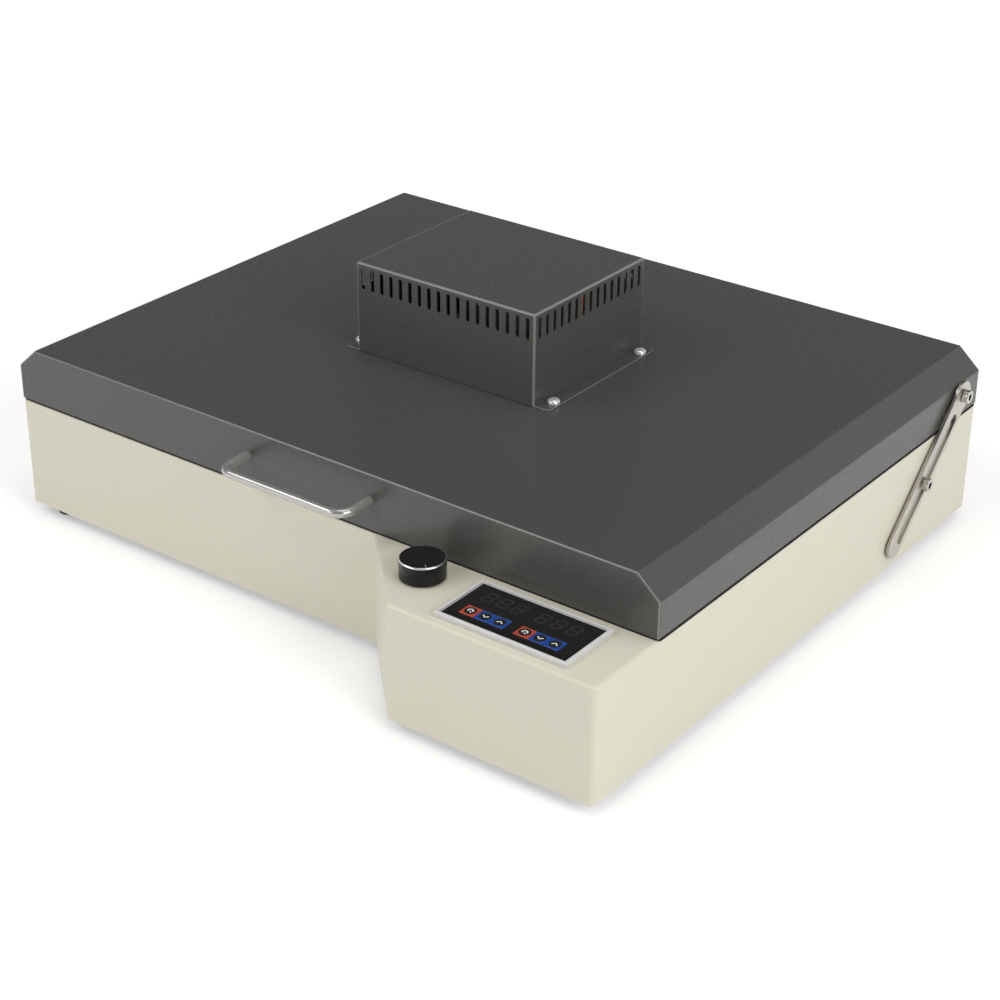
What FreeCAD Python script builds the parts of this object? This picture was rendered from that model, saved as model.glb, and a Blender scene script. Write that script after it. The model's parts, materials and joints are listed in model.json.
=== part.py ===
import FreeCAD, Part
import math
import os

V = FreeCAD.Vector
X = V(1, 0, 0)
Y = V(0, 1, 0)
Z = V(0, 0, 1)

# Bench-top oven with a lift-up lid. Millimetres, +X right, +Y rear, +Z up.
# The origin is on the bench, below the middle of the whole oven.

# Housing
lid_width = 536.0
lid_depth = 406.2
base_height = 80.9
sheet = 1.5
base_corner = 3.5
lid_gap = 1.4
lid_wall_height = 24.9
chamfer_width = 16.4
chamfer_height = 14.5
lid_bend = 1.6
lid_lip = 14.0
gap = 0.3

# Console at the right of the front
console_depth = 63.3
console_front_width = 151.8
console_root_width = 213.8

# Underside
foot_height = 8.0
foot_radius = 8.0
foot_taper = 1.0
foot_from_side = 21.0
foot_from_front = 14.0
foot_from_rear = 21.0
foot_screw_radius = 2.0
foot_screw_length = 9.0
foot_screw_depth = 4.0
vent_count = 6
vent_length = 60.0
vent_width = 5.0
vent_pitch = 24.0

# Lower chamber
rim = 40.0
pan_sheet = 1.0
pan_depth = 45.0
pan_corner = 12.0
pan_flange = 10.0
insulation = 12.0
rail_width = 44.0
rail_flange = 14.0
rail_from_wall = 108.0
rack_bar = 6.0
rack_thickness = 2.0
rack_strip = 6.0
rack_strips = 21
rack_height = 17.0
rack_margin = 12.0
gasket_inset = 0.3
gasket_width = 14.0
gasket_clearance = 0.3

# Rear hinges
hinge_axis_out = 4.5
hinge_axis_drop = 12.0
barrel_radius = 4.0
pin_radius = 2.0
hinge_from_side = 98.0
hinge_length = 66.0
knuckle_length = 22.0
leaf_thickness = 2.4
leaf_height = 26.0
leaf_relief = 0.6
lid_opening = 58.0

# Slotted lid stays
stay_pivot_from_rear = 30.6
stay_pivot_height = 17.2
stay_stud_from_rear = 79.8
stay_stud_drop = 31.2
stay_width = 18.0
stay_thickness = 2.5
stay_standoff = 1.5
stay_head_radius = 10.5
stay_tip = 6.5
stay_neck = 14.5
stud_radius = 1.7
stud_head_radius = 4.7
stud_head_height = 4.6
stud_collar_radius = 4.2
stud_edge = 0.8
stud_depth = 6.0
notch_radius = 2.4
notch_from_end = 13.0

# Vented cover over the fan motor
cover_width = 151.0
cover_depth = 127.3
cover_height = 66.0
cover_sheet = 1.2
cover_bend = 1.0
cover_flange = 12.3
flange_clip = 5.0
slot_length = 15.6
slot_width = 3.2
slot_clip = 0.3
slot_from_top = 3.6
slot_pitch = 8.2
slots_front = 18
slots_side = 15
cover_screw_spread = 102.0
cover_screw_out = 7.2
cover_screw_radius = 2.0
cover_screw_head = 3.8
cover_screw_head_height = 2.6
cover_opening_margin = 12.0

# Pull handle
handle_span = 102.8
handle_reach = 30.0
handle_radius = 3.0
handle_bend = 10.0
handle_height = 20.9
handle_screw_radius = 1.8
handle_screw_head = 3.5
handle_screw_head_height = 3.0
handle_screw_depth = 9.0

# Upper chamber in the lid
liner_height = 20.0
liner_sheet = 1.0
tube_radius = 5.0
tube_end_room = 14.0
tube_rows = (75.0, 128.0)
tube_height = 11.0
tube_cap_half = 7.0
tube_cap_length = 12.0
clip_width = 12.0
guard_bar = 4.0
guard_strip = 3.6
guard_thickness = 1.5
guard_strips = 17

# Fan
motor_radius = 29.0
motor_height = 38.0
motor_shoulder = 5.0
motor_boss_radius = 11.0
motor_boss = 5.0
motor_hole = 20.0
bracket_width = 72.0
bracket_sheet = 2.0
pillar_radius = 3.0
pillar_height = 8.0
pillar_spread = 44.0
shaft_radius = 3.0
shaft_depth = 26.0
impeller_radius = 58.0
impeller_eye = 30.0
impeller_plate = 1.5
impeller_hub = 9.0
blade_count = 10
blade_height = 8.0
blade_thickness = 1.5
blade_set_back = 35.0
block_length = 34.0
block_width = 16.0
block_height = 14.0
block_wall = 3.0
lead_radius = 1.6
lead_spacing = 9.0
lead_height = 28.0

# Panel meter
meter_width = 95.8
meter_depth = 48.0
meter_from_side = 73.2
meter_from_front = 30.9
bezel_height = 3.5
bezel_border = 3.0
bezel_bevel = 0.8
window_recess = 0.9
window_thickness = 1.2
case_margin = 2.4
case_depth = 58.0
case_wall = 1.6
board_thickness = 1.6
board_drop = 9.0
key_pitch = 10.8
key_width = 10.5
key_length = 10.3
key_proud = 0.2
key_gap = 0.15
key_travel = 0.5
key_from_centre = 9.45
key_groups = (-20.55, 19.1)
key_stem = 4.0
switch_size = 6.0
switch_height = 4.2
display_width = 30.1
display_depth = 14.0
display_height = 6.0
display_from_centre = 9.5
clamp_width = 12.0
clamp_thickness = 3.0
clamp_height = 20.0

# Knob and its potentiometer
knob_radius = 14.8
knob_height = 13.0
knob_lift = 0.8
knob_rim = 1.2
knob_recess_radius = 10.0
knob_recess = 5.0
knob_from_front = 39.2
knob_from_side = 155.0
pointer_width = 1.0
pointer_length = 5.0
pointer_angle = -42.0
pointer_depth = 0.4
grub_radius = 1.5
grub_length = 6.0
pot_radius = 12.0
pot_height = 11.0
bush_radius = 4.5
bush_height = 7.0
nut_radius = 7.0
nut_height = 2.5
pot_shaft_radius = 3.0
shaft_flat = 1.5

# Power entry at the rear
inlet_from_hinge = 75.0
rear_fittings_height = 36.0
inlet_width = 50.0
inlet_height = 24.0
inlet_flange = 2.6
inlet_body_width = 27.4
inlet_body_height = 20.4
inlet_body_depth = 21.0
socket_width = 24.2
socket_height = 16.6
socket_depth = 17.0
socket_clip = 5.0
pin_width = 2.0
pin_height = 4.0
pin_length = 13.0
pin_spread = 7.0
earth_offset = 2.0
inlet_screw_spread = 40.0
inlet_screw_head = 2.8
inlet_screw_head_height = 1.8
inlet_screw_crown = 2.0
switch_from_inlet = 50.0
frame_width = 21.0
frame_height = 31.0
frame_proud = 2.0
frame_body_depth = 20.0
frame_border = 3.0
rocker_throw = 10.0
rocker_rise = 4.0
rocker_dip = 2.0
rocker_depth = 6.0
rocker_gap = 0.6
bush_from_switch = 45.0
bush_flange = 10.5
bush_wire_hole = 5.0
bush_proud = 2.4
base_bush_height = 58.0
lid_bush_height = 20.0

# Electronics on the bottom plate
relay_length = 58.0
relay_width = 44.0
relay_height = 19.0
relay_plate = 4.0
relay_from_side = 98.0
relay_from_front = 63.0
probe_radius = 1.5
probe_length = 56.0
probe_inside = 16.0
probe_nut_radius = 6.0
probe_nut_length = 8.0
probe_from_wall = 38.0
probe_height = 5.0

# Places that follow from the sizes above
half_width = lid_width / 2
hinge_reach = hinge_axis_out + barrel_radius
rear_y = (console_depth + lid_depth - hinge_reach) / 2
front_y = rear_y - lid_depth
console_y = front_y - console_depth
middle_y = (front_y + rear_y) / 2
base_z = foot_height
floor_z = base_z + sheet
deck_z = base_z + base_height
lid_z = deck_z + lid_gap
lid_top = lid_z + lid_wall_height + chamfer_height
pan_half_x = half_width - rim
pan_half_y = lid_depth / 2 - rim
tube_length = 2 * (pan_half_x - tube_end_room - tube_cap_length)
probe_x = pan_half_x - probe_from_wall
rail_x = pan_half_x - rail_from_wall
hinge_x = half_width - hinge_from_side
relay_x = half_width - relay_from_side
inlet_x = inlet_from_hinge - hinge_x
switch_x = inlet_x + switch_from_inlet
bush_x = switch_x + bush_from_switch
pan_top = deck_z - sheet
pan_floor = pan_top - pan_depth
lid_flange_z = lid_z + sheet
liner_ceiling = lid_flange_z + liner_height
hinge_y = rear_y + hinge_axis_out
hinge_z = lid_z - hinge_axis_drop
stay_pivot = V(half_width, rear_y - stay_pivot_from_rear, lid_z + stay_pivot_height)
stay_stud = V(half_width, rear_y - stay_stud_from_rear, lid_z - stay_stud_drop)
meter_x = half_width - meter_from_side
meter_y = console_y + meter_from_front
knob_x = half_width - knob_from_side
knob_y = console_y + knob_from_front
window_z = deck_z + bezel_height - window_recess
board_z = deck_z - board_drop
fan_plate_z = liner_ceiling - impeller_plate - 2 * gap
rear_fittings_z = base_z + rear_fittings_height


def box(low, high):
    """Box between two opposite corners."""
    size = high - low
    return Part.makeBox(size.x, size.y, size.z, low)


def block(centre, width, depth, bottom, top):
    """Upright box about a centre, between two heights."""
    return box(V(centre.x - width / 2, centre.y - depth / 2, bottom),
               V(centre.x + width / 2, centre.y + depth / 2, top))


def is_along(edge, direction):
    """True for a straight edge that runs along a direction."""
    if not isinstance(edge.Curve, Part.Line):
        return False
    return abs(abs(edge.tangentAt(edge.FirstParameter).dot(direction)) - 1) < 1e-6


def rounded(solid, radius, direction=Z):
    """Solid with its straight edges along a direction rounded."""
    return solid.makeFillet(radius, [edge for edge in solid.Edges if is_along(edge, direction)])


def prism(points, bottom, top):
    """Upright prism on a closed outline of points."""
    outline = [V(point.x, point.y, bottom) for point in points]
    return Part.Face(Part.makePolygon(outline + outline[:1])).extrude(Z * (top - bottom))


def inset_prism(solid, inset, bottom, top):
    """Upright prism whose outline lies inside that of a given upright prism."""
    foot = min(solid.Faces, key=lambda face: face.CenterOfMass.z)
    wire = foot.OuterWire.makeOffset2D(-inset)
    wire.translate(Z * (bottom - solid.BoundBox.ZMin))
    return Part.Face(wire).extrude(Z * (top - bottom))


def rod(start, direction, radius, length):
    """Round bar from a start point along a direction."""
    return Part.makeCylinder(radius, length, start, direction)


def turned(profile, start, direction=Z):
    """Solid of revolution from (radius, height) points, stood on a start point."""
    points = [V(radius, 0, height) for radius, height in profile]
    face = Part.Face(Part.makePolygon(points + points[:1]))
    solid = face.revolve(V(0, 0, 0), Z, 360)
    solid.Placement = FreeCAD.Placement(start, FreeCAD.Rotation(Z, direction))
    return solid


def obround(centre, along, through, length, width, depth):
    """Round-ended slot, long on one direction and extruded on another."""
    radius = width / 2
    side = through.cross(along) * radius
    reach = along * (length / 2 - radius)
    low = centre - reach
    high = centre + reach
    edges = [
        Part.LineSegment(low + side, high + side).toShape(),
        Part.Arc(high + side, high + along * radius, high - side).toShape(),
        Part.LineSegment(high - side, low - side).toShape(),
        Part.Arc(low - side, low - along * radius, low + side).toShape(),
    ]
    return Part.Face(Part.Wire(edges)).extrude(through * depth)


def clipped_slot(centre, along, through, length, width, depth):
    """Punched slot whose corners are clipped, long on one direction and extruded on another."""
    side = through.cross(along)
    clip = width * slot_clip
    half_length = length / 2
    half_width_here = width / 2
    corners = []
    for end, edge in ((1, 1), (1, -1), (-1, -1), (-1, 1)):
        tip = centre + along * (end * half_length) + side * (edge * (half_width_here - clip))
        flank = centre + along * (end * (half_length - clip)) + side * (edge * half_width_here)
        corners += [flank, tip] if end == edge else [tip, flank]
    return Part.Face(Part.makePolygon(corners + corners[:1])).extrude(through * depth)


def unit(vector):
    """Vector of the same direction and length one."""
    return vector * (1 / vector.Length)


def bent_rod(points, bend, radius):
    """Round bar along straight runs joined by tangent bends."""
    edges = []
    start = points[0]
    for corner, after in zip(points[1:-1], points[2:]):
        into = unit(corner - start)
        out = unit(after - corner)
        half_turn = into.getAngle(out) / 2
        trim = bend * math.tan(half_turn)
        inward = unit(out - into)
        first = corner - into * trim
        last = corner + out * trim
        middle = corner + inward * (bend / math.cos(half_turn) - bend)
        edges.append(Part.LineSegment(start, first).toShape())
        edges.append(Part.Arc(first, middle, last).toShape())
        start = last
    edges.append(Part.LineSegment(start, points[-1]).toShape())
    section = Part.Wire(Part.makeCircle(radius, points[0], unit(points[1] - points[0])))
    return Part.Wire(edges).makePipeShell([section], True, False)


def group(solids):
    """Separate solids kept together as one piece's repeats."""
    return Part.makeCompound(solids)


def both_sides(solid):
    """A right-hand solid and its mirror image on the left."""
    return group([solid, solid.mirror(V(0, 0, 0), X)])


def cut_all(solid, tools):
    """Solid with each tool cut out of it."""
    return solid.cut(Part.makeCompound(tools)) if tools else solid


# Base housing

def base_outline():
    """Corners of the base, with the console's splayed left wall."""
    return [
        V(-half_width, rear_y, 0),
        V(half_width, rear_y, 0),
        V(half_width, console_y, 0),
        V(half_width - console_front_width, console_y, 0),
        V(half_width - console_root_width, front_y, 0),
        V(-half_width, front_y, 0),
    ]


def foot_places():
    """Centres of the four feet at bench height."""
    side = half_width - foot_from_side
    return [V(x, y, 0) for x in (-side, side)
            for y in (front_y + foot_from_front, rear_y - foot_from_rear)]


def chamber_block(spare, bottom, top):
    """Upright block over the chamber's plan, grown by a spare width on each side."""
    plan = block(V(0, middle_y, 0), 2 * (pan_half_x + spare), 2 * (pan_half_y + spare), bottom, top)
    return rounded(plan, pan_corner + spare)


def rear_block(x, z, width, height, y_from, y_to):
    """Box on the rear wall about a place, between two depths."""
    return box(V(x - width / 2, y_from, z - height / 2), V(x + width / 2, y_to, z + height / 2))


def through_side(place, radius):
    """Round cutters through the right and left walls at a place."""
    cutter = rod(place - X * (2 * sheet), X, radius, 4 * sheet)
    return [cutter, cutter.mirror(V(0, 0, 0), X)]


def base_shell():
    """Folded base: walls with round corners, and a deck with its openings."""
    outside = rounded(prism(base_outline(), base_z, deck_z), base_corner)
    hollow = inset_prism(outside, sheet, base_z, pan_top)
    tools = [hollow, chamber_block(0, pan_top, deck_z)]
    tools.append(block(V(meter_x, meter_y, 0), meter_width - 2 * case_margin,
                       meter_depth - 2 * case_margin, pan_top, deck_z))
    tools.append(rod(V(knob_x, knob_y, pan_top), Z, bush_radius + gap, sheet))
    wall = rear_y - sheet
    tools.append(rear_block(inlet_x, rear_fittings_z, inlet_body_width, inlet_body_height, wall, rear_y))
    tools.append(rear_block(switch_x, rear_fittings_z, frame_width - frame_border,
                            frame_height - frame_border, wall, rear_y))
    tools.append(rod(V(bush_x, wall, base_z + base_bush_height), Y, bush_wire_hole, sheet))
    tools += through_side(stay_stud, stud_radius + gap)
    return cut_all(outside, tools)


def bottom_plate():
    """Flat plate between the walls, with cooling slots below the chamber."""
    outside = rounded(prism(base_outline(), base_z, floor_z), base_corner)
    plate = inset_prism(outside, sheet, base_z, floor_z)
    tools = [rod(place + Z * base_z, Z, foot_screw_radius, sheet) for place in foot_places()]
    for index in range(vent_count):
        x = (index - (vent_count - 1) / 2) * vent_pitch
        tools.append(block(V(x, middle_y, 0), vent_width, vent_length, base_z, floor_z))
    return cut_all(plate, tools)


def rubber_feet():
    """Four tapered feet with a socket for the stud."""
    low = foot_height - foot_screw_depth
    profile = [
        (0, 0),
        (foot_radius - foot_taper, 0),
        (foot_radius, foot_height),
        (foot_screw_radius, foot_height),
        (foot_screw_radius, low),
        (0, low),
    ]
    return group([turned(profile, place) for place in foot_places()])


def foot_screws():
    """Studs from the feet up through the plate."""
    low = foot_height - foot_screw_depth
    return group([rod(place + Z * low, Z, foot_screw_radius, foot_screw_length) for place in foot_places()])


# Lower chamber

def chamber_pan():
    """Stainless pan hung under the deck by its flange."""
    body = chamber_block(pan_sheet, pan_floor - pan_sheet, pan_top)
    flange = chamber_block(pan_flange, pan_top - pan_sheet, pan_top)
    return body.fuse(flange).cut(chamber_block(0, pan_floor, pan_top)).removeSplitter().cut(probe_hole())


def probe_hole():
    """Cutter along the temperature probe."""
    start = probe_start()
    return rod(start, Y, probe_radius + gap, probe_length)


def base_insulation():
    """Fibre tray round the outside of the pan."""
    top = pan_top - pan_sheet
    plan = block(V(0, middle_y, 0), 2 * (pan_half_x + pan_sheet + insulation),
                 2 * (pan_half_y + pan_sheet + insulation), pan_floor - pan_sheet - insulation, top)
    return plan.cut(chamber_block(pan_sheet, pan_floor - pan_sheet, top)).cut(probe_hole())


def chassis_rails():
    """Two hat-section rails that carry the insulated pan on the bottom plate."""
    top = pan_floor - pan_sheet - insulation
    rails = []
    for x in (-rail_x, rail_x):
        centre = V(x, middle_y, 0)
        length = 2 * pan_half_y
        hat = block(centre, rail_width, length, floor_z, top)
        feet = block(centre, rail_width + 2 * rail_flange, length, floor_z, floor_z + sheet)
        tunnel = block(centre, rail_width - 2 * sheet, length, floor_z, top - sheet)
        rails.append(hat.fuse(feet).cut(tunnel).removeSplitter())
    return group(rails)


def work_rack():
    """Welded rack of upright strips on two cross bars, standing on the chamber floor."""
    half_x = pan_half_x - rack_margin
    half_y = pan_half_y - rack_margin
    top = pan_floor + rack_height
    low = top - rack_strip
    bars = []
    for side in (-1, 1):
        y = middle_y + side * (half_y - rack_margin)
        bars.append(block(V(0, y, 0), 2 * half_x, rack_bar, pan_floor, low))
    for index in range(rack_strips):
        x = (2 * index / (rack_strips - 1) - 1) * (half_x - rack_thickness / 2)
        bars.append(block(V(x, middle_y, 0), rack_thickness, 2 * half_y, low, top))
    return group(bars)


def lid_gasket():
    """Flat rubber frame on the deck, below the lid's edge."""
    top = lid_z - gasket_clearance
    outer = block(V(0, middle_y, 0), lid_width - 2 * gasket_inset, lid_depth - 2 * gasket_inset, deck_z, top)
    spare = gasket_inset + gasket_width
    inner = block(V(0, middle_y, 0), lid_width - 2 * spare, lid_depth - 2 * spare, deck_z, top)
    return rounded(outer, base_corner).cut(inner)


def probe_start():
    """Outer end of the temperature probe, in front of the insulation."""
    wall = middle_y - pan_half_y
    return V(probe_x, wall + probe_inside - probe_length, pan_floor + probe_height)


def thermocouple():
    """Sheathed probe through the chamber's front wall, held by a hexagon gland nut."""
    start = probe_start()
    face = middle_y - pan_half_y - pan_sheet - insulation
    corners = [V(probe_nut_radius * math.cos(math.radians(60 * step)), 0,
                 probe_nut_radius * math.sin(math.radians(60 * step))) for step in range(6)]
    outline = [V(start.x, face - probe_nut_length, start.z) + corner for corner in corners]
    nut = Part.Face(Part.makePolygon(outline + outline[:1])).extrude(Y * probe_nut_length)
    return rod(start, Y, probe_radius, probe_length).fuse(nut).removeSplitter()


# Rear hinges

def knuckle(x_from, length):
    """Barrel piece of a hinge along X."""
    return rod(V(x_from, hinge_y, hinge_z), X, barrel_radius, length)


def pin_bore(x):
    """Cutter for a hinge's pin."""
    start = V(x - hinge_length / 2, hinge_y, hinge_z)
    return rod(start, X, pin_radius + gap, hinge_length)


def hinge_base_leaf(x):
    """Leaf on the base's rear wall with the two outer knuckles."""
    outer = (hinge_length - knuckle_length) / 2
    left = x - hinge_length / 2
    low = hinge_z - barrel_radius - leaf_height
    plate = box(V(left, rear_y, low), V(left + hinge_length, rear_y + leaf_thickness, hinge_z))
    window = box(V(x - knuckle_length / 2, rear_y, hinge_z - barrel_radius - 2 * gap),
                 V(x + knuckle_length / 2, rear_y + leaf_thickness, hinge_z))
    knuckles = [knuckle(left, outer - gap), knuckle(left + hinge_length - outer + gap, outer - gap)]
    slot_sides = [box(V(x + side * (knuckle_length / 2) - gap, rear_y, window.BoundBox.ZMin),
                      V(x + side * (knuckle_length / 2) + gap, rear_y + leaf_thickness, hinge_z))
                  for side in (-1, 1)]
    leaf = plate.cut(window).cut(group(slot_sides)).multiFuse(knuckles)
    return leaf.cut(pin_bore(x)).removeSplitter()


def hinge_lid_leaf(x):
    """Leaf on the lid's rear wall with the middle knuckle and its tongue."""
    tongue_width = knuckle_length - 2 * gap
    plate = box(V(x - hinge_length / 2, rear_y, lid_z),
                V(x + hinge_length / 2, rear_y + leaf_thickness, lid_z + leaf_height))
    tongue = box(V(x - tongue_width / 2, rear_y + leaf_relief, hinge_z),
                 V(x + tongue_width / 2, rear_y + leaf_thickness, lid_z))
    leaf = plate.multiFuse([tongue, knuckle(x - tongue_width / 2, tongue_width)])
    return leaf.cut(pin_bore(x)).removeSplitter()


def hinge_pin(x):
    """Plain steel pin of one hinge."""
    return rod(V(x - hinge_length / 2, hinge_y, hinge_z), X, pin_radius, hinge_length)


# Lid stays

def turned_about_hinge(point, degrees):
    """Place of a lid point after the lid has opened by an angle."""
    angle = -math.radians(degrees)
    y = point.y - hinge_y
    z = point.z - hinge_z
    return V(point.x, hinge_y + y * math.cos(angle) - z * math.sin(angle),
             hinge_z + y * math.sin(angle) + z * math.cos(angle))


def stay_bearing(degrees):
    """Length and slope, from lid pivot to base stud, at a lid angle."""
    run = stay_stud - turned_about_hinge(stay_pivot, degrees)
    return run.Length, math.atan2(run.z, -run.y)


def stay_drift():
    """Widest sideways wander of the stud in the slot while the arm turns evenly with the lid."""
    first = stay_bearing(0)[1]
    last = stay_bearing(lid_opening)[1]
    steps = range(1, int(lid_opening))
    wander = []
    for degrees in steps:
        length, slope = stay_bearing(degrees)
        wander.append(length * math.sin(first + (last - first) * degrees / lid_opening - slope))
    return max(wander)


def stay_arm():
    """Right-hand arm: round head, offset slot and a locking notch near its tip."""
    end_length = stay_bearing(lid_opening)[0]
    drift = stay_drift()
    slot = drift + 2 * (stud_radius + gap)
    tip = end_length + stay_tip
    blank = obround(V(0, 0, 0) + X * (tip / 2), X, Z, tip + stay_width, stay_width, stay_thickness)
    head = rod(V(0, 0, 0), Z, stay_head_radius, stay_thickness)
    slot_end = end_length + slot / 2
    slot_middle = V((stay_neck + slot_end) / 2, drift / 2, 0)
    cutters = [
        obround(slot_middle, X, Z, slot_end - stay_neck, slot, stay_thickness),
        rod(V(slot_end - notch_from_end, drift / 2 - slot / 2, 0), Z, notch_radius, stay_thickness),
        rod(V(0, 0, 0), Z, stud_radius + gap, stay_thickness),
    ]
    arm = cut_all(blank.fuse(head).removeSplitter(), cutters)
    run = unit(stay_stud - stay_pivot)
    frame = FreeCAD.Matrix(run.x, X.cross(run).x, 1, 0, run.y, X.cross(run).y, 0, 0,
                           run.z, X.cross(run).z, 0, 0, 0, 0, 0, 1)
    arm.Placement = FreeCAD.Placement(frame)
    arm.translate(stay_pivot + X * stay_standoff)
    return arm


def shoulder_screw(place):
    """Socket-head screw with a collar that holds an arm off the wall."""
    outside = stay_standoff + stay_thickness
    head = outside + gap
    profile = [
        (0, -stud_depth),
        (stud_radius, -stud_depth),
        (stud_radius, 0),
        (stud_collar_radius, 0),
        (stud_collar_radius, stay_standoff - gap),
        (stud_radius, stay_standoff - gap),
        (stud_radius, head),
        (stud_head_radius, head),
        (stud_head_radius, head + stud_head_height - stud_edge),
        (stud_head_radius - stud_edge, head + stud_head_height),
        (0, head + stud_head_height),
    ]
    return turned(profile, place, X)


# Lid

def lid_section(inset, y_from, y_to, bottom):
    """Lid's chamfered profile, drawn in by a wall and run from front to rear."""
    half = half_width - inset
    slant = math.hypot(chamfer_width, chamfer_height)
    shift = inset * (slant - chamfer_height) / chamfer_width
    rise = inset * (slant - chamfer_width) / chamfer_height
    shoulder = lid_z + lid_wall_height - shift
    top = lid_top - inset
    flat = half_width - chamfer_width - rise
    points = [V(-half, y_from, bottom), V(-half, y_from, shoulder), V(-flat, y_from, top),
              V(flat, y_from, top), V(half, y_from, shoulder), V(half, y_from, bottom)]
    return Part.Face(Part.makePolygon(points + points[:1])).extrude(Y * (y_to - y_from))


def cover_opening(bottom, top):
    """Cut-out in the lid's top, inside the cover's plan."""
    return block(V(0, middle_y, 0), cover_width - 2 * cover_opening_margin,
                 cover_depth - 2 * cover_opening_margin, bottom, top)


def cover_screw_places():
    """Centres of the cover's four screws on the lid's top."""
    x = cover_width / 2 + cover_screw_out
    y = cover_screw_spread / 2
    return [V(x * side, middle_y + y * end, lid_top) for side in (-1, 1) for end in (-1, 1)]


def handle_places():
    """Centres of the handle's two ends on the lid's front wall."""
    return [V(side * handle_span / 2, front_y, lid_z + handle_height) for side in (-1, 1)]


def lid_shell():
    """Folded lid with chamfered sides, flat ends and a lip turned in below."""
    outside = lid_section(0, front_y, rear_y, lid_z)
    bends = [edge for edge in outside.Edges if edge.BoundBox.ZMax > lid_z + gap]
    outside = outside.makeFillet(lid_bend, bends)
    hollow = lid_section(sheet, front_y + sheet, rear_y - sheet, lid_z + sheet)
    mouth = block(V(0, middle_y, 0), lid_width - 2 * lid_lip, lid_depth - 2 * lid_lip, lid_z, lid_z + sheet)
    tools = [hollow, mouth, cover_opening(lid_top - sheet, lid_top)]
    tools += [rod(place - Z * sheet, Z, cover_screw_radius + gap, sheet) for place in cover_screw_places()]
    tools += [rod(place, Y, handle_screw_radius + gap, sheet) for place in handle_places()]
    tools += through_side(stay_pivot, stud_radius + gap)
    tools.append(rod(V(bush_x, rear_y - sheet, lid_z + lid_bush_height), Y, bush_wire_hole, sheet))
    return cut_all(outside, tools)


def lid_liner():
    """Stainless upper chamber whose flange lies on the lid's lip."""
    body = chamber_block(liner_sheet, lid_flange_z, liner_ceiling + liner_sheet)
    half_flange = rim - lid_lip / 2
    flange = chamber_block(half_flange, lid_flange_z, lid_flange_z + liner_sheet)
    hollow = chamber_block(0, lid_flange_z, liner_ceiling)
    hole = rod(V(0, middle_y, liner_ceiling), Z, motor_boss_radius + gap, liner_sheet)
    return body.fuse(flange).cut(hollow).cut(hole).removeSplitter()


def lid_insulation():
    """Fibre slab over the upper chamber, with a round well for the motor's nose."""
    top = lid_top - sheet
    low = lid_flange_z + liner_sheet
    spare = liner_sheet + insulation
    slab = block(V(0, middle_y, 0), 2 * (pan_half_x + spare), 2 * (pan_half_y + spare), low, top)
    core = chamber_block(liner_sheet, low, liner_ceiling + liner_sheet)
    well = rod(V(0, middle_y, low), Z, motor_hole, top - low)
    return slab.cut(core).cut(well)


def tube_places():
    """Left ends of the heater tubes' axes."""
    z = lid_flange_z + tube_height
    return [V(-tube_length / 2, middle_y + side * row, z) for row in tube_rows for side in (-1, 1)]


def heater_tubes():
    """Quartz tubes that end against the ceramic blocks."""
    return group([rod(place, X, tube_radius, tube_length) for place in tube_places()])


def heater_caps():
    """Square ceramic blocks at both ends of each tube."""
    caps = []
    for place in tube_places():
        for x in (place.x - tube_cap_length / 2, place.x + tube_length + tube_cap_length / 2):
            caps.append(block(V(x, place.y, 0), tube_cap_length, 2 * tube_cap_half,
                              place.z - tube_cap_half, place.z + tube_cap_half))
    return group(caps)


def heater_clips():
    """Hanger straps from the chamber's ceiling to each row of caps."""
    clips = []
    drop = liner_ceiling - lid_flange_z - tube_height - tube_cap_half
    for place in tube_places():
        for x in (place.x - tube_cap_length / 2, place.x + tube_length + tube_cap_length / 2):
            clips.append(block(V(x, place.y, 0), tube_cap_length, clip_width,
                               liner_ceiling - drop, liner_ceiling))
    return group(clips)


def heater_guard():
    """Guard of upright strips across the upper chamber's mouth, between two cross bars."""
    top = lid_flange_z + guard_strip
    bars = []
    for side in (-1, 1):
        y = middle_y + side * (pan_half_y - guard_bar / 2)
        bars.append(block(V(0, y, 0), 2 * (pan_half_x - pan_corner), guard_bar, lid_flange_z, top))
    span = pan_half_x - 2 * pan_corner
    for index in range(guard_strips):
        x = (2 * index / (guard_strips - 1) - 1) * span
        bars.append(block(V(x, middle_y, 0), guard_thickness, 2 * (pan_half_y - guard_bar),
                          lid_flange_z, top))
    return group(bars)


def vent_cover():
    """Five-sided cover with a row of slots near its top and a flange on each side."""
    place = V(0, middle_y, 0)
    top = lid_top + cover_height
    outside = block(place, cover_width, cover_depth, lid_top, top)
    bends = [edge for edge in outside.Edges if edge.BoundBox.ZMax > lid_top + gap]
    outside = outside.makeFillet(cover_bend, bends)
    flange = block(place, cover_width + 2 * cover_flange, cover_depth, lid_top, lid_top + cover_sheet)
    flange = rounded(flange, flange_clip)
    hollow = block(place, cover_width - 2 * cover_sheet, cover_depth - 2 * cover_sheet,
                   lid_top, top - cover_sheet)
    cover = outside.fuse(flange).cut(hollow).removeSplitter()
    z = top - slot_from_top - slot_length / 2
    tools = []
    for index in range(slots_front):
        x = (index - (slots_front - 1) / 2) * slot_pitch
        for y in (middle_y - cover_depth / 2, middle_y + cover_depth / 2 - cover_sheet):
            tools.append(clipped_slot(V(x, y, z), Z, Y, slot_length, slot_width, cover_sheet))
    for index in range(slots_side):
        y = middle_y + (index - (slots_side - 1) / 2) * slot_pitch
        for x in (-cover_width / 2, cover_width / 2 - cover_sheet):
            tools.append(clipped_slot(V(x, y, z), Z, X, slot_length, slot_width, cover_sheet))
    tools += [rod(spot, Z, cover_screw_radius + gap, cover_sheet) for spot in cover_screw_places()]
    return cut_all(cover, tools)


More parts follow.
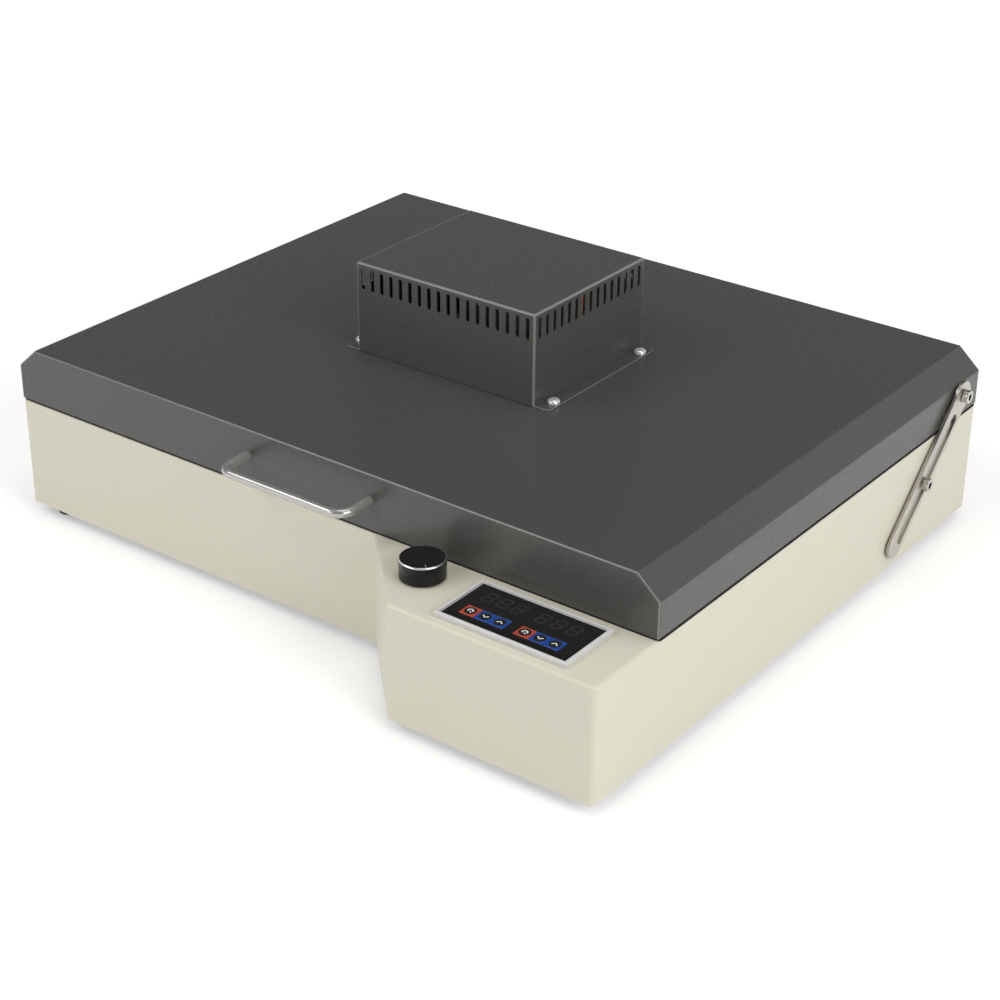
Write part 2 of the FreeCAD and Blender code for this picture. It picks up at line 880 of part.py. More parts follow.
def cover_screw(place):
    """Pan-head screw through the cover's flange and the lid's top."""
    seat = cover_sheet
    profile = [
        (0, -sheet),
        (cover_screw_radius, -sheet),
        (cover_screw_radius, seat),
        (cover_screw_head, seat),
        (cover_screw_head, seat + cover_screw_head_height / 2),
        (cover_screw_head / 2, seat + cover_screw_head_height),
        (0, seat + cover_screw_head_height),
    ]
    return turned(profile, place)


def handle():
    """Bent round-bar pull on the lid's front wall."""
    left, right = handle_places()
    out = Y * (handle_radius - handle_reach)
    bar = bent_rod([left, left + out, right + out, right], handle_bend, handle_radius)
    depth = handle_screw_depth - sheet
    holes = [rod(place - Y * depth, Y, handle_screw_radius + gap / 3, depth) for place in handle_places()]
    return cut_all(bar, holes)


def handle_screw(place):
    """Screw from inside the lid into one end of the handle."""
    profile = [
        (0, -handle_screw_depth),
        (handle_screw_radius, -handle_screw_depth),
        (handle_screw_radius, 0),
        (handle_screw_head, 0),
        (handle_screw_head, handle_screw_head_height),
        (0, handle_screw_head_height),
    ]
    return turned(profile, place + Y * sheet, Y)


# Fan in the lid

def bracket_top():
    """Height of the pillars that carry the motor."""
    return lid_top + bracket_sheet + pillar_height


def motor_bracket():
    """Bridge plate over the lid's cut-out, with four pillars."""
    place = V(0, middle_y, 0)
    length = cover_depth - 2 * cover_sheet - 4 * gap
    plate = block(place, bracket_width, length, lid_top, lid_top + bracket_sheet)
    half = pillar_spread / 2
    pillars = [rod(V(x, middle_y + y, lid_top + bracket_sheet), Z, pillar_radius, pillar_height)
               for x in (-half, half) for y in (-half, half)]
    hole = rod(place + Z * lid_top, Z, motor_hole, bracket_sheet)
    return plate.cut(hole).multiFuse(pillars).removeSplitter()


def fan_motor():
    """Round motor with stepped end bells and a nose bearing."""
    low = bracket_top()
    bore = shaft_radius + gap
    rise = motor_height
    profile = [
        (bore, -motor_boss),
        (motor_boss_radius, -motor_boss),
        (motor_boss_radius, 0),
        (motor_radius, 0),
        (motor_radius, rise - motor_shoulder),
        (motor_radius - motor_shoulder, rise),
        (motor_boss_radius, rise),
        (motor_boss_radius, rise + motor_boss),
        (0, rise + motor_boss),
        (0, shaft_depth + gap),
        (bore, shaft_depth + gap),
    ]
    return turned(profile, V(0, middle_y, low))


def fan_shaft():
    """Shaft from the motor down to the impeller's hub."""
    low = fan_plate_z - blade_height
    return rod(V(0, middle_y, low), Z, shaft_radius, bracket_top() + shaft_depth - low)


def fan_impeller():
    """Back plate, hub and a ring of backward-curved blades."""
    centre = V(0, middle_y, fan_plate_z)
    plate = rod(centre, Z, impeller_radius, impeller_plate)
    hub = rod(centre - Z * blade_height, Z, impeller_hub, blade_height)
    wheel = plate.fuse(hub)
    blades = [fan_blade(index * 360 / blade_count) for index in range(blade_count)]
    bore = rod(centre - Z * blade_height, Z, shaft_radius, blade_height + impeller_plate)
    return wheel.multiFuse(blades).cut(bore).removeSplitter()


def fan_blade(degrees):
    """One flat blade from the eye to the rim, set back from the radial line."""
    low = V(impeller_eye, middle_y - blade_thickness / 2, fan_plate_z - blade_height)
    blade = Part.makeBox(impeller_radius - impeller_eye - blade_thickness, blade_thickness, blade_height, low)
    blade.rotate(V(impeller_eye, middle_y, 0), Z, blade_set_back)
    blade.rotate(V(0, middle_y, 0), Z, degrees)
    return blade


def block_place():
    """Centre of the ceramic terminal block beside the motor."""
    return V((bracket_width + block_width) / 2 + 2 * gap, middle_y, lid_top)


def terminal_shelf():
    """Strip across the lid's cut-out that carries the terminal block."""
    place = block_place()
    depth = cover_depth - 2 * cover_sheet - 4 * gap
    return block(place, block_width, depth, lid_top, lid_top + bracket_sheet)


def terminal_block():
    """Ceramic block with a wall between its two ways."""
    place = block_place()
    low = lid_top + bracket_sheet
    body = block(place, block_width, block_length, low, low + block_height)
    bays = [block(place + Y * (side * lead_spacing), block_width - 2 * block_wall, lead_spacing,
                  low + block_height / 2, low + block_height) for side in (-1, 1)]
    return cut_all(body, bays)


def motor_leads():
    """Two insulated leads, straight from the motor's shoulder down to the terminal block."""
    place = block_place()
    leads = []
    for side in (-1, 1):
        y = middle_y + side * lead_spacing
        start = V(0, y, bracket_top() + lead_height)
        end = V(place.x, y, place.z + bracket_sheet + block_height / 2)
        lead = rod(start, unit(end - start), lead_radius, (end - start).Length)
        leads.append(lead.cut(fan_motor()).cut(terminal_block()))
    return group(leads)


# Panel meter

def key_places():
    """Centres of the six keys on the meter's face, left to right."""
    y = meter_y - key_from_centre
    steps = [-key_pitch, 0, key_pitch]
    return [V(meter_x + group_x + step, y, 0) for group_x in key_groups for step in steps]


def meter_bezel():
    """White frame on the console's deck with a bevelled inner edge."""
    place = V(meter_x, meter_y, 0)
    outer = block(place, meter_width, meter_depth, deck_z, deck_z + bezel_height)
    outer = rounded(outer, bezel_bevel)
    top = [edge for edge in outer.Edges if edge.BoundBox.ZMin > deck_z + bezel_height - gap]
    outer = outer.makeChamfer(bezel_bevel / 2, top)
    inner = block(place, meter_width - 2 * bezel_border, meter_depth - 2 * bezel_border,
                  deck_z, deck_z + bezel_height)
    return outer.cut(inner)


def display_window():
    """Dark face plate with an opening for each key."""
    place = V(meter_x, meter_y, 0)
    plate = block(place, meter_width - 2 * bezel_border, meter_depth - 2 * bezel_border,
                  window_z - window_thickness, window_z)
    holes = [block(spot, key_width + 2 * key_gap, key_length + 2 * key_gap,
                   window_z - window_thickness, window_z) for spot in key_places()]
    return cut_all(plate, holes)


def meter_case():
    """Open-topped case below the deck, up against the back of the frame."""
    place = V(meter_x, meter_y, 0)
    width = meter_width - 2 * case_margin - 2 * gap
    depth = meter_depth - 2 * case_margin - 2 * gap
    outer = block(place, width, depth, deck_z - case_depth, deck_z)
    inner = block(place, width - 2 * case_wall, depth - 2 * case_wall,
                  deck_z - case_depth + case_wall, deck_z)
    return outer.cut(inner)


def controller_board():
    """Circuit board in the case, with a tact switch below each key."""
    place = V(meter_x, meter_y, 0)
    width = meter_width - 2 * (case_margin + gap + case_wall)
    depth = meter_depth - 2 * (case_margin + gap + case_wall)
    board = block(place, width, depth, board_z - board_thickness, board_z)
    switch_top = board_z + switch_height
    switches = [block(spot, switch_size, switch_size, board_z, switch_top) for spot in key_places()]
    return group([board] + switches)


def led_displays():
    """Two display modules on posts of the board, close under the window."""
    top = window_z - window_thickness
    modules = []
    for group_x in key_groups:
        place = V(meter_x + group_x, meter_y + display_from_centre, 0)
        body = block(place, display_width, display_depth, top - display_height, top)
        posts = block(place, display_width / 2, display_depth / 2, board_z, top - display_height)
        modules.append(body.fuse(posts).removeSplitter())
    return group(modules)


def key(place):
    """Key cap with a stem above its switch."""
    top = window_z + key_proud
    cap = block(place, key_width, key_length, window_z - window_thickness, top)
    low = board_z + switch_height + key_travel + key_gap
    stem = block(place, key_stem, key_stem, low, window_z - window_thickness)
    return cap.fuse(stem).removeSplitter()


def meter_clamps():
    """Sliding clamps that pull the frame down on the deck."""
    half = meter_width / 2 - case_margin - gap
    clamps = []
    for side in (-1, 1):
        place = V(meter_x + side * (half + clamp_thickness / 2), meter_y, 0)
        clamps.append(block(place, clamp_thickness, clamp_width, pan_top - clamp_height, pan_top))
    return group(clamps)


# Knob

def knob():
    """Turned knob with a bright top rim, a pointer groove and a hollow underside."""
    top = knob_height
    skirt = knob_radius
    profile = [
        (0, top),
        (skirt - knob_rim, top),
        (skirt, top - knob_rim),
        (skirt, 0),
        (knob_recess_radius, 0),
        (knob_recess_radius, knob_recess),
        (0, knob_recess),
    ]
    place = V(knob_x, knob_y, deck_z + knob_lift)
    body = turned(profile, place)
    start = skirt - knob_rim - pointer_length
    groove = box(place + V(start, -pointer_width / 2, top - pointer_depth),
                 place + V(start + pointer_length, pointer_width / 2, top))
    groove.rotate(place, Z, pointer_angle)
    grub = rod(place + V(0, 0, grub_height()), -X, grub_radius, knob_radius)
    return body.cut(shaft_blank(0)).cut(groove).cut(grub)


def grub_height():
    """Height of the grub screw above the knob's lower edge."""
    return (knob_recess + knob_height) / 2


def shaft_blank(low):
    """Flatted potentiometer shaft from a height above the deck into the knob."""
    top = knob_height - 2 * knob_rim + knob_lift
    start = V(knob_x, knob_y, deck_z + low)
    shaft = rod(start, Z, pot_shaft_radius, top - low)
    flat = box(start + V(-2 * pot_shaft_radius, -pot_shaft_radius, 0),
               start + V(shaft_flat - pot_shaft_radius, pot_shaft_radius, top - low))
    return shaft.cut(flat)


def pot_shaft_low():
    """Height of the shaft's lower end above the deck's top."""
    return -sheet - pot_height / 2


def pot_shaft():
    """Shaft of the potentiometer, which turns with the knob."""
    return shaft_blank(pot_shaft_low())


def knob_grub_screw():
    """Socket grub screw that bears on the shaft's flat."""
    start = V(knob_x - pot_shaft_radius + shaft_flat, knob_y, deck_z + knob_lift + grub_height())
    return rod(start, -X, grub_radius, grub_length)


def potentiometer():
    """Potentiometer below the deck with its threaded bush through it."""
    bore = pot_shaft_radius + gap
    low = -sheet - pot_height
    profile = [
        (0, low),
        (pot_radius, low),
        (pot_radius, -sheet),
        (bush_radius, -sheet),
        (bush_radius, bush_height - sheet),
        (bore, bush_height - sheet),
        (bore, pot_shaft_low() - gap),
        (0, pot_shaft_low() - gap),
    ]
    return turned(profile, V(knob_x, knob_y, deck_z))


def pot_nut():
    """Hexagon nut on the bush, hidden in the knob's underside."""
    corners = [V(knob_x + nut_radius * math.cos(math.radians(60 * step)),
                 knob_y + nut_radius * math.sin(math.radians(60 * step)), 0) for step in range(6)]
    return prism(corners, deck_z, deck_z + nut_height).cut(
        rod(V(knob_x, knob_y, deck_z), Z, bush_radius, nut_height))


# Power entry

def power_inlet():
    """Appliance inlet with two clipped corners in its socket."""
    x = inlet_x
    z = rear_fittings_z
    flange = rounded(rear_block(x, z, inlet_width, inlet_height, rear_y, rear_y + inlet_flange),
                     inlet_height / 4, Y)
    body = rear_block(x, z, inlet_body_width - 2 * gap, inlet_body_height - 2 * gap,
                      rear_y - inlet_body_depth, rear_y)
    half_x = socket_width / 2
    half_z = socket_height / 2
    mouth = rear_y + inlet_flange
    corners = [(-half_x, -half_z), (half_x, -half_z), (half_x, half_z - socket_clip),
               (half_x - socket_clip, half_z), (socket_clip - half_x, half_z),
               (-half_x, half_z - socket_clip)]
    outline = [V(x + right, mouth - socket_depth, z + up) for right, up in corners]
    socket = Part.Face(Part.makePolygon(outline + outline[:1])).extrude(Y * socket_depth)
    return flange.fuse(body).removeSplitter().cut(socket)


def inlet_screw_places():
    """Centres of the inlet's two screws on its flange."""
    return [V(inlet_x + side * inlet_screw_spread / 2, rear_y + inlet_flange, rear_fittings_z)
            for side in (-1, 1)]


def inlet_screw(place):
    """Pan-head screw on the inlet's flange."""
    profile = [
        (0, 0),
        (inlet_screw_head, 0),
        (inlet_screw_crown, inlet_screw_head_height),
        (0, inlet_screw_head_height),
    ]
    return turned(profile, place, Y)


def inlet_pins():
    """Three contact blades in the inlet's socket."""
    floor = rear_y + inlet_flange - socket_depth
    spots = [(-pin_spread, -earth_offset), (0, earth_offset), (pin_spread, -earth_offset)]
    tip = floor + pin_length
    return group([rear_block(inlet_x + right, rear_fittings_z + up, pin_width, pin_height, floor, tip)
                  for right, up in spots])


def switch_frame():
    """Frame and body of the mains switch."""
    x = switch_x
    z = rear_fittings_z
    flange = rear_block(x, z, frame_width, frame_height, rear_y, rear_y + frame_proud)
    flange = rounded(flange, frame_border / 2, Y)
    body = rear_block(x, z, frame_width - frame_border - 2 * gap, frame_height - frame_border - 2 * gap,
                      rear_y - frame_body_depth, rear_y)
    pocket_depth = rocker_depth + rocker_rise + rocker_dip
    pocket = rear_block(x, z, frame_width - 2 * frame_border, frame_height - 2 * frame_border,
                        rear_y - pocket_depth, rear_y + frame_proud)
    return flange.fuse(body).removeSplitter().cut(pocket)


def switch_rocker():
    """Rocker with a hollowed face, at rest with its lower end pressed."""
    width = frame_width - 2 * frame_border - 2 * rocker_gap
    half = frame_height / 2 - frame_border - 3 * rocker_gap
    depth = rocker_depth / 2
    face = [(half, rocker_rise), (0, rocker_dip), (-half, rocker_rise), (-half, 0), (0, -depth), (half, 0)]
    x = switch_x - width / 2
    outline = [V(x, rear_y + out, rear_fittings_z + up) for up, out in face]
    rocker = Part.Face(Part.makePolygon(outline + outline[:1])).extrude(X * width)
    rocker.rotate(V(switch_x, rear_y, rear_fittings_z), X, -rocker_throw)
    return rocker


def loom_bush(height):
    """Rubber bush in a rear wall for the loom between base and lid."""
    profile = [
        (bush_wire_hole, 0),
        (bush_flange, 0),
        (bush_flange - bush_proud / 2, bush_proud),
        (bush_wire_hole, bush_proud),
    ]
    return turned(profile, V(bush_x, rear_y, height), Y)


# Electronics

def relay_place():
    """Centre of the relay on the bottom plate."""
    return V(relay_x, console_y + relay_from_front, 0)


def solid_state_relay():
    """Relay block on its metal base plate."""
    place = relay_place()
    plate = block(place, relay_length, relay_width, floor_z, floor_z + relay_plate)
    body = rounded(block(place, relay_length - relay_plate * 3, relay_width - relay_plate / 2,
                         floor_z + relay_plate, floor_z + relay_height), relay_plate / 2)
    return plate.fuse(body).removeSplitter()


def all_nodes():
    """Every piece of the oven by its name."""
    hinges = (-hinge_x, hinge_x)
    nodes = {
        "base_shell": base_shell(),
        "bottom_plate": bottom_plate(),
        "rubber_feet": rubber_feet(),
        "foot_screws": foot_screws(),
        "chamber_pan": chamber_pan(),
        "base_insulation": base_insulation(),
        "chassis_rails": chassis_rails(),
        "work_rack": work_rack(),
        "lid_gasket": lid_gasket(),
        "thermocouple": thermocouple(),
        "hinge_base_leaves": group([hinge_base_leaf(x) for x in hinges]),
        "hinge_lid_leaves": group([hinge_lid_leaf(x) for x in hinges]),
        "hinge_pins": group([hinge_pin(x) for x in hinges]),
        "stay_studs": both_sides(shoulder_screw(stay_stud)),
        "stay_pivot_screws": both_sides(shoulder_screw(stay_pivot)),
        "stay_arm_right": stay_arm(),
        "stay_arm_left": stay_arm().mirror(V(0, 0, 0), X),
        "lid_shell": lid_shell(),
        "lid_liner": lid_liner(),
        "lid_insulation": lid_insulation(),
        "heater_tubes": heater_tubes(),
        "heater_caps": heater_caps(),
        "heater_clips": heater_clips(),
        "heater_guard": heater_guard(),
        "vent_cover": vent_cover(),
        "vent_cover_screws": group([cover_screw(place) for place in cover_screw_places()]),
        "handle": handle(),
        "handle_screws": group([handle_screw(place) for place in handle_places()]),
        "motor_bracket": motor_bracket(),
        "fan_motor": fan_motor(),
        "fan_shaft": fan_shaft(),
        "fan_impeller": fan_impeller(),
        "terminal_shelf": terminal_shelf(),
        "terminal_block": terminal_block(),
        "motor_leads": motor_leads(),
        "meter_bezel": meter_bezel(),
        "display_window": display_window(),
        "meter_case": meter_case(),
        "controller_board": controller_board(),
        "led_displays": led_displays(),
        "meter_clamps": meter_clamps(),
        "knob": knob(),
        "knob_grub_screw": knob_grub_screw(),
        "pot_shaft": pot_shaft(),
        "potentiometer": potentiometer(),
        "pot_nut": pot_nut(),
        "power_inlet": power_inlet(),
        "inlet_screws": group([inlet_screw(place) for place in inlet_screw_places()]),
        "inlet_pins": inlet_pins(),
        "switch_frame": switch_frame(),
        "switch_rocker": switch_rocker(),
        "base_loom_bush": loom_bush(base_z + base_bush_height),
        "lid_loom_bush": loom_bush(lid_z + lid_bush_height),
        "solid_state_relay": solid_state_relay(),
    }
    key_names = ["temperature_mode", "temperature_down", "temperature_up",
                 "time_mode", "time_down", "time_up"]
    for name, place in zip(key_names, key_places()):
        nodes[name + "_key"] = key(place)
    return nodes


def main():
    """Write one file for each piece."""
    os.makedirs("parts", exist_ok=True)
    for name, shape in all_nodes().items():
        shape.exportStep("parts/" + name + ".step")


main()
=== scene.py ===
"""Finishes, fasteners and fittings of a bench-top reflow oven with a lift-up lid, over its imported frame."""
import json
import logging
import math
from collections.abc import Callable, Iterable, Sequence
from dataclasses import dataclass, field
from enum import Enum

import bmesh
import bpy
from mathutils import Euler, Matrix, Vector


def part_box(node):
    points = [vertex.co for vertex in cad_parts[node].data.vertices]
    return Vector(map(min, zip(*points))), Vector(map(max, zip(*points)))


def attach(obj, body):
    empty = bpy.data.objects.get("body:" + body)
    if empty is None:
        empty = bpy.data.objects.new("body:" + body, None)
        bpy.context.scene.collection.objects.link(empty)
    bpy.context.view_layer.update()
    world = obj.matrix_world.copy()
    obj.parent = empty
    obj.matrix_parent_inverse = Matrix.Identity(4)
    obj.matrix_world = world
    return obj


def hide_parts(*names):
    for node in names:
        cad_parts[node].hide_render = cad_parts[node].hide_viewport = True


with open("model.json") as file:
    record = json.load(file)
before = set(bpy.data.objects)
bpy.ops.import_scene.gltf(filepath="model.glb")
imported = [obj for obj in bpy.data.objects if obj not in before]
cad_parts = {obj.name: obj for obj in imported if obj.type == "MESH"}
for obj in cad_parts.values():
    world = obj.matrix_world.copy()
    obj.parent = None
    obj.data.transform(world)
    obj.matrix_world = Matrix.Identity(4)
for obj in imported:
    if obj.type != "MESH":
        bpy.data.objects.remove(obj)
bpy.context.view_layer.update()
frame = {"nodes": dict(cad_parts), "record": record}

MM = 0.001
LOG = logging.getLogger("reflow_oven")

Colour = tuple[float, float, float]
Point = tuple[float, float]
Place = tuple[float, float, float]
Material = bpy.types.Material
Mesh = bpy.types.Mesh
Piece = bpy.types.Object
Socket = bpy.types.NodeSocket
Work = bmesh.types.BMesh
Edges = list[bmesh.types.BMEdge]


def mm(x: float, y: float, z: float) -> Vector:
    """Point given in millimetres, in metres."""
    return Vector((x, y, z)) * MM


def node_box(node: str) -> tuple[Vector, Vector]:
    """Lowest and highest corner of a CAD node, in millimetres."""
    low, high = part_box(node)
    return low / MM, high / MM


class NodeTree:
    """Shader or geometry tree that nodes are added to."""

    def __init__(self, tree: bpy.types.NodeTree) -> None:
        """Takes up a tree."""
        self.tree = tree

    def add(self, kind: str, links: dict[str | int, Socket] | None = None,
            values: dict[str | int, object] | None = None, **options: str) -> bpy.types.Node:
        """Adds a node.

        Args:
            kind: Type of the node.
            links: Output that feeds each linked input.
            values: Constant of each other input.
            options: Settings of the node, such as its operation.

        Returns:
            The node.
        """
        node = self.tree.nodes.new(kind)
        for option, setting in options.items():
            setattr(node, option, setting)
        for name, source in (links or {}).items():
            self.tree.links.new(source, node.inputs[name])
        for name, value in (values or {}).items():
            node.inputs[name].default_value = value
        return node


# Finishes

PATTERN_SPAN = (0.3, 0.7)
LINES_PER_WAVE = 20
LINE_WANDER = 0.3


class Grain(Enum):
    """Direction of the brushing or rolling lines of a metal, as the stretch of its pattern."""

    ALONG_X = (0.02, 1.0, 1.0)
    ALONG_Y = (1.0, 0.02, 1.0)
    NONE = (1.0, 1.0, 1.0)


class FinishTree(NodeTree):
    """Node tree of one finish, with its patterns on Object coordinates; sizes in millimetres."""

    def __init__(self, name: str) -> None:
        """Starts a material.

        Args:
            name: Name of the finish.
        """
        self.material = bpy.data.materials.new(name)
        self.material.use_nodes = True
        super().__init__(self.material.node_tree)
        self.surface = self.tree.nodes["Principled BSDF"]
        self.coordinates = self.add("ShaderNodeTexCoord").outputs["Object"]

    def fix(self, values: dict[str, float | tuple[float, ...]]) -> None:
        """Sets sockets of the surface shader that are the same all over."""
        for socket, value in values.items():
            self.surface.inputs[socket].default_value = value

    def feed(self, output: Socket, socket: str) -> None:
        """Links an output to a socket of the surface shader."""
        self.tree.links.new(output, self.surface.inputs[socket])

    def place(self, stretch: Place, shift: Place = (0, 0, 0)) -> Socket:
        """Pattern space, stretched on each axis and shifted in metres."""
        values = {"Scale": stretch, "Location": shift}
        return self.add("ShaderNodeMapping", {"Vector": self.coordinates}, values).outputs["Vector"]

    def noise(self, size: float, detail: float = 2.0, grain: Grain = Grain.NONE) -> Socket:
        """Cloudy pattern with lumps of one size, finer layers and a direction in which it is drawn out."""
        values = {"Scale": 1 / (size * MM), "Detail": detail}
        return self.add("ShaderNodeTexNoise", {"Vector": self.place(grain.value)}, values).outputs["Fac"]

    def cells(self, size: float) -> Socket:
        """Crystal pattern with cells of one size."""
        links, values = {"Vector": self.coordinates}, {"Scale": 1 / (size * MM)}
        return self.add("ShaderNodeTexVoronoi", links, values).outputs["Distance"]

    def rings(self, pitch: float, centre: Vector) -> Socket:
        """Turning lines around an upright axis.

        Args:
            pitch: Distance between the lines.
            centre: Point on the axis, in metres.

        Returns:
            The pattern's value.
        """
        links = {"Vector": self.place(Grain.NONE.value, -centre)}
        values = {"Scale": 1 / (pitch * MM) / LINES_PER_WAVE, "Distortion": LINE_WANDER}
        waves = self.add("ShaderNodeTexWave", links, values, wave_type="RINGS", rings_direction="Z")
        return waves.outputs["Fac"]

    def tint(self, value: Socket, dark: Colour, light: Colour) -> None:
        """Lets a pattern move the base colour.

        Args:
            value: The pattern.
            dark: Colour where the pattern is low.
            light: Colour where it is high.
        """
        ramp = self.add("ShaderNodeValToRGB", {"Fac": value})
        for stop, position, colour in zip(ramp.color_ramp.elements, PATTERN_SPAN, (dark, light)):
            stop.position = position
            stop.color = (*colour, 1.0)
        self.feed(ramp.outputs["Color"], "Base Color")

    def spread(self, value: Socket, low: float, high: float) -> None:
        """Lets a pattern move the roughness.

        Args:
            value: The pattern.
            low: Roughness where the pattern is low.
            high: Roughness where it is high.
        """
        span = {"From Min": PATTERN_SPAN[0], "From Max": PATTERN_SPAN[1], "To Min": low, "To Max": high}
        node = self.add("ShaderNodeMapRange", {"Value": value}, span)
        self.feed(node.outputs["Result"], "Roughness")

    def relief(self, value: Socket, depth: float, strength: float = 1.0) -> None:
        """Raises the surface with a pattern, up to a depth of which a share shows."""
        bump = self.add("ShaderNodeBump", {"Height": value}, {"Distance": depth * MM, "Strength": strength})
        self.feed(bump.outputs["Normal"], "Normal")


def tones(colour: Colour, low: float, high: float) -> tuple[Colour, Colour]:
    """Darker and lighter tone of a colour, by a factor each."""
    return tuple(tuple(min(1.0, channel * factor) for channel in colour) for factor in (low, high))


@dataclass(frozen=True)
class Moulding:
    """Moulded plastic, rubber or ceramic with an even grain; sizes in millimetres."""

    name: str
    colour: Colour
    roughness: float
    uneven: float = 0.05
    patch: float = 1.2
    cloud: float = 2.5
    layers: float = 3.0
    variation: float = 0.05
    grain_size: float = 0.35
    relief: float = 0.012
    specular: float = 0.5

    def material(self) -> Material:
        """Material of this surface."""
        tree = FinishTree(self.name)
        tree.fix({"Specular IOR Level": self.specular})
        shades = tones(self.colour, 1 - self.variation, 1 + self.variation)
        tree.tint(tree.noise(self.cloud, self.layers), *shades)
        tree.spread(tree.noise(self.patch), self.roughness - self.uneven, self.roughness + self.uneven)
        tree.relief(tree.noise(self.grain_size), self.relief)
        return tree.material


@dataclass(frozen=True)
class PowderCoat(Moulding):
    """Powder coat with a fine orange-peel relief."""

    uneven: float = 0.04
    patch: float = 1.6
    cloud: float = 0.8
    layers: float = 4.0
    variation: float = 0.03
    grain_size: float = 0.9


@dataclass(frozen=True)
class PlatedSteel:
    """Plated, rolled or polished metal with lines along its grain."""

    name: str
    colour: Colour
    roughness: float
    grain: Grain = Grain.NONE
    line: float = 0.35
    relief: float = 0.004
    metallic: float = 1.0

    def material(self) -> Material:
        """Material of this metal."""
        tree = FinishTree(self.name)
        tree.fix({"Metallic": self.metallic})
        lines = tree.noise(self.line, 3.0, self.grain)
        tree.tint(tree.noise(6.0, 3.0, self.grain), *tones(self.colour, 0.93, 1.05))
        tree.spread(lines, self.roughness * 0.8, self.roughness * 1.25)
        tree.relief(lines, self.relief)
        return tree.material


@dataclass(frozen=True)
class SpangledZinc:
    """Zinc sheet with crystals in its plating."""

    name: str
    colour: Colour
    roughness: float = 0.38
    uneven: float = 0.07
    crystal: float = 5.0

    def material(self) -> Material:
        """Material of this sheet."""
        tree = FinishTree(self.name)
        tree.fix({"Metallic": 1.0})
        tree.tint(tree.cells(self.crystal), *tones(self.colour, 0.88, 1.06))
        tree.spread(tree.noise(2.0, 3.0), self.roughness - self.uneven, self.roughness + self.uneven)
        tree.relief(tree.noise(0.8), 0.01)
        return tree.material


@dataclass(frozen=True)
class GlossFilm:
    """Smooth printed film under a clear face."""

    name: str
    colour: Colour
    roughness: float = 0.16
    coat: float = 0.3

    def material(self) -> Material:
        """Material of this film."""
        tree = FinishTree(self.name)
        tree.fix({"Coat Weight": self.coat, "Coat Roughness": 0.08})
        tree.tint(tree.noise(1.2, 3.0), *tones(self.colour, 0.92, 1.08))
        tree.spread(tree.noise(5.0), self.roughness - 0.04, self.roughness + 0.05)
        tree.relief(tree.noise(2.0), 0.004)
        return tree.material


@dataclass(frozen=True)
class FibreFelt:
    """White ceramic fibre with loose tufts."""

    name: str
    colour: Colour

    def material(self) -> Material:
        """Material of this felt."""
        tree = FinishTree(self.name)
        tree.fix({"Sheen Weight": 0.3})
        tree.tint(tree.noise(4.0, 6.0), *tones(self.colour, 0.85, 1.0))
        tree.spread(tree.noise(2.0, 4.0), 0.85, 1.0)
        tree.relief(tree.noise(1.5, 6.0), 0.5, 0.7)
        return tree.material


@dataclass(frozen=True)
class MilkyQuartz:
    """Quartz tube, milky and glossy."""

    name: str
    colour: Colour

    def material(self) -> Material:
        """Material of this tube."""
        tree = FinishTree(self.name)
        tree.fix({"IOR": 1.46, "Coat Weight": 0.5})
        tree.tint(tree.noise(5.0, 3.0, Grain.ALONG_X), *tones(self.colour, 0.9, 1.0))
        tree.spread(tree.noise(1.5), 0.2, 0.34)
        tree.relief(tree.noise(1.0), 0.006)
        return tree.material


@dataclass(frozen=True)
class SolderMask:
    """Green board with a raised pattern of copper runs."""

    name: str
    mask: Colour
    run: Colour

    def material(self) -> Material:
        """Material of this board."""
        tree = FinishTree(self.name)
        runs = tree.noise(1.4, 0.0, Grain.ALONG_X)
        tree.tint(runs, self.mask, self.run)
        tree.spread(tree.noise(3.0), 0.3, 0.42)
        tree.relief(runs, 0.03)
        return tree.material


@dataclass(frozen=True)
class TurnedTop:
    """Dark anodised metal with turning lines around the knob's axis."""

    name: str
    colour: Colour
    centre: Vector
    roughness: float = 0.24
    uneven: float = 0.03

    def material(self) -> Material:
        """Material of this turned face."""
        tree = FinishTree(self.name)
        tree.fix({"Specular IOR Level": 0.3})
        lines = tree.rings(0.3, self.centre)
        tree.tint(tree.noise(3.0, 3.0), *tones(self.colour, 0.85, 1.2))
        tree.spread(lines, self.roughness - self.uneven, self.roughness + self.uneven)
        tree.relief(lines, 0.0015)
        return tree.material


KNOB_CENTRE = (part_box("knob")[0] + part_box("knob")[1]) / 2


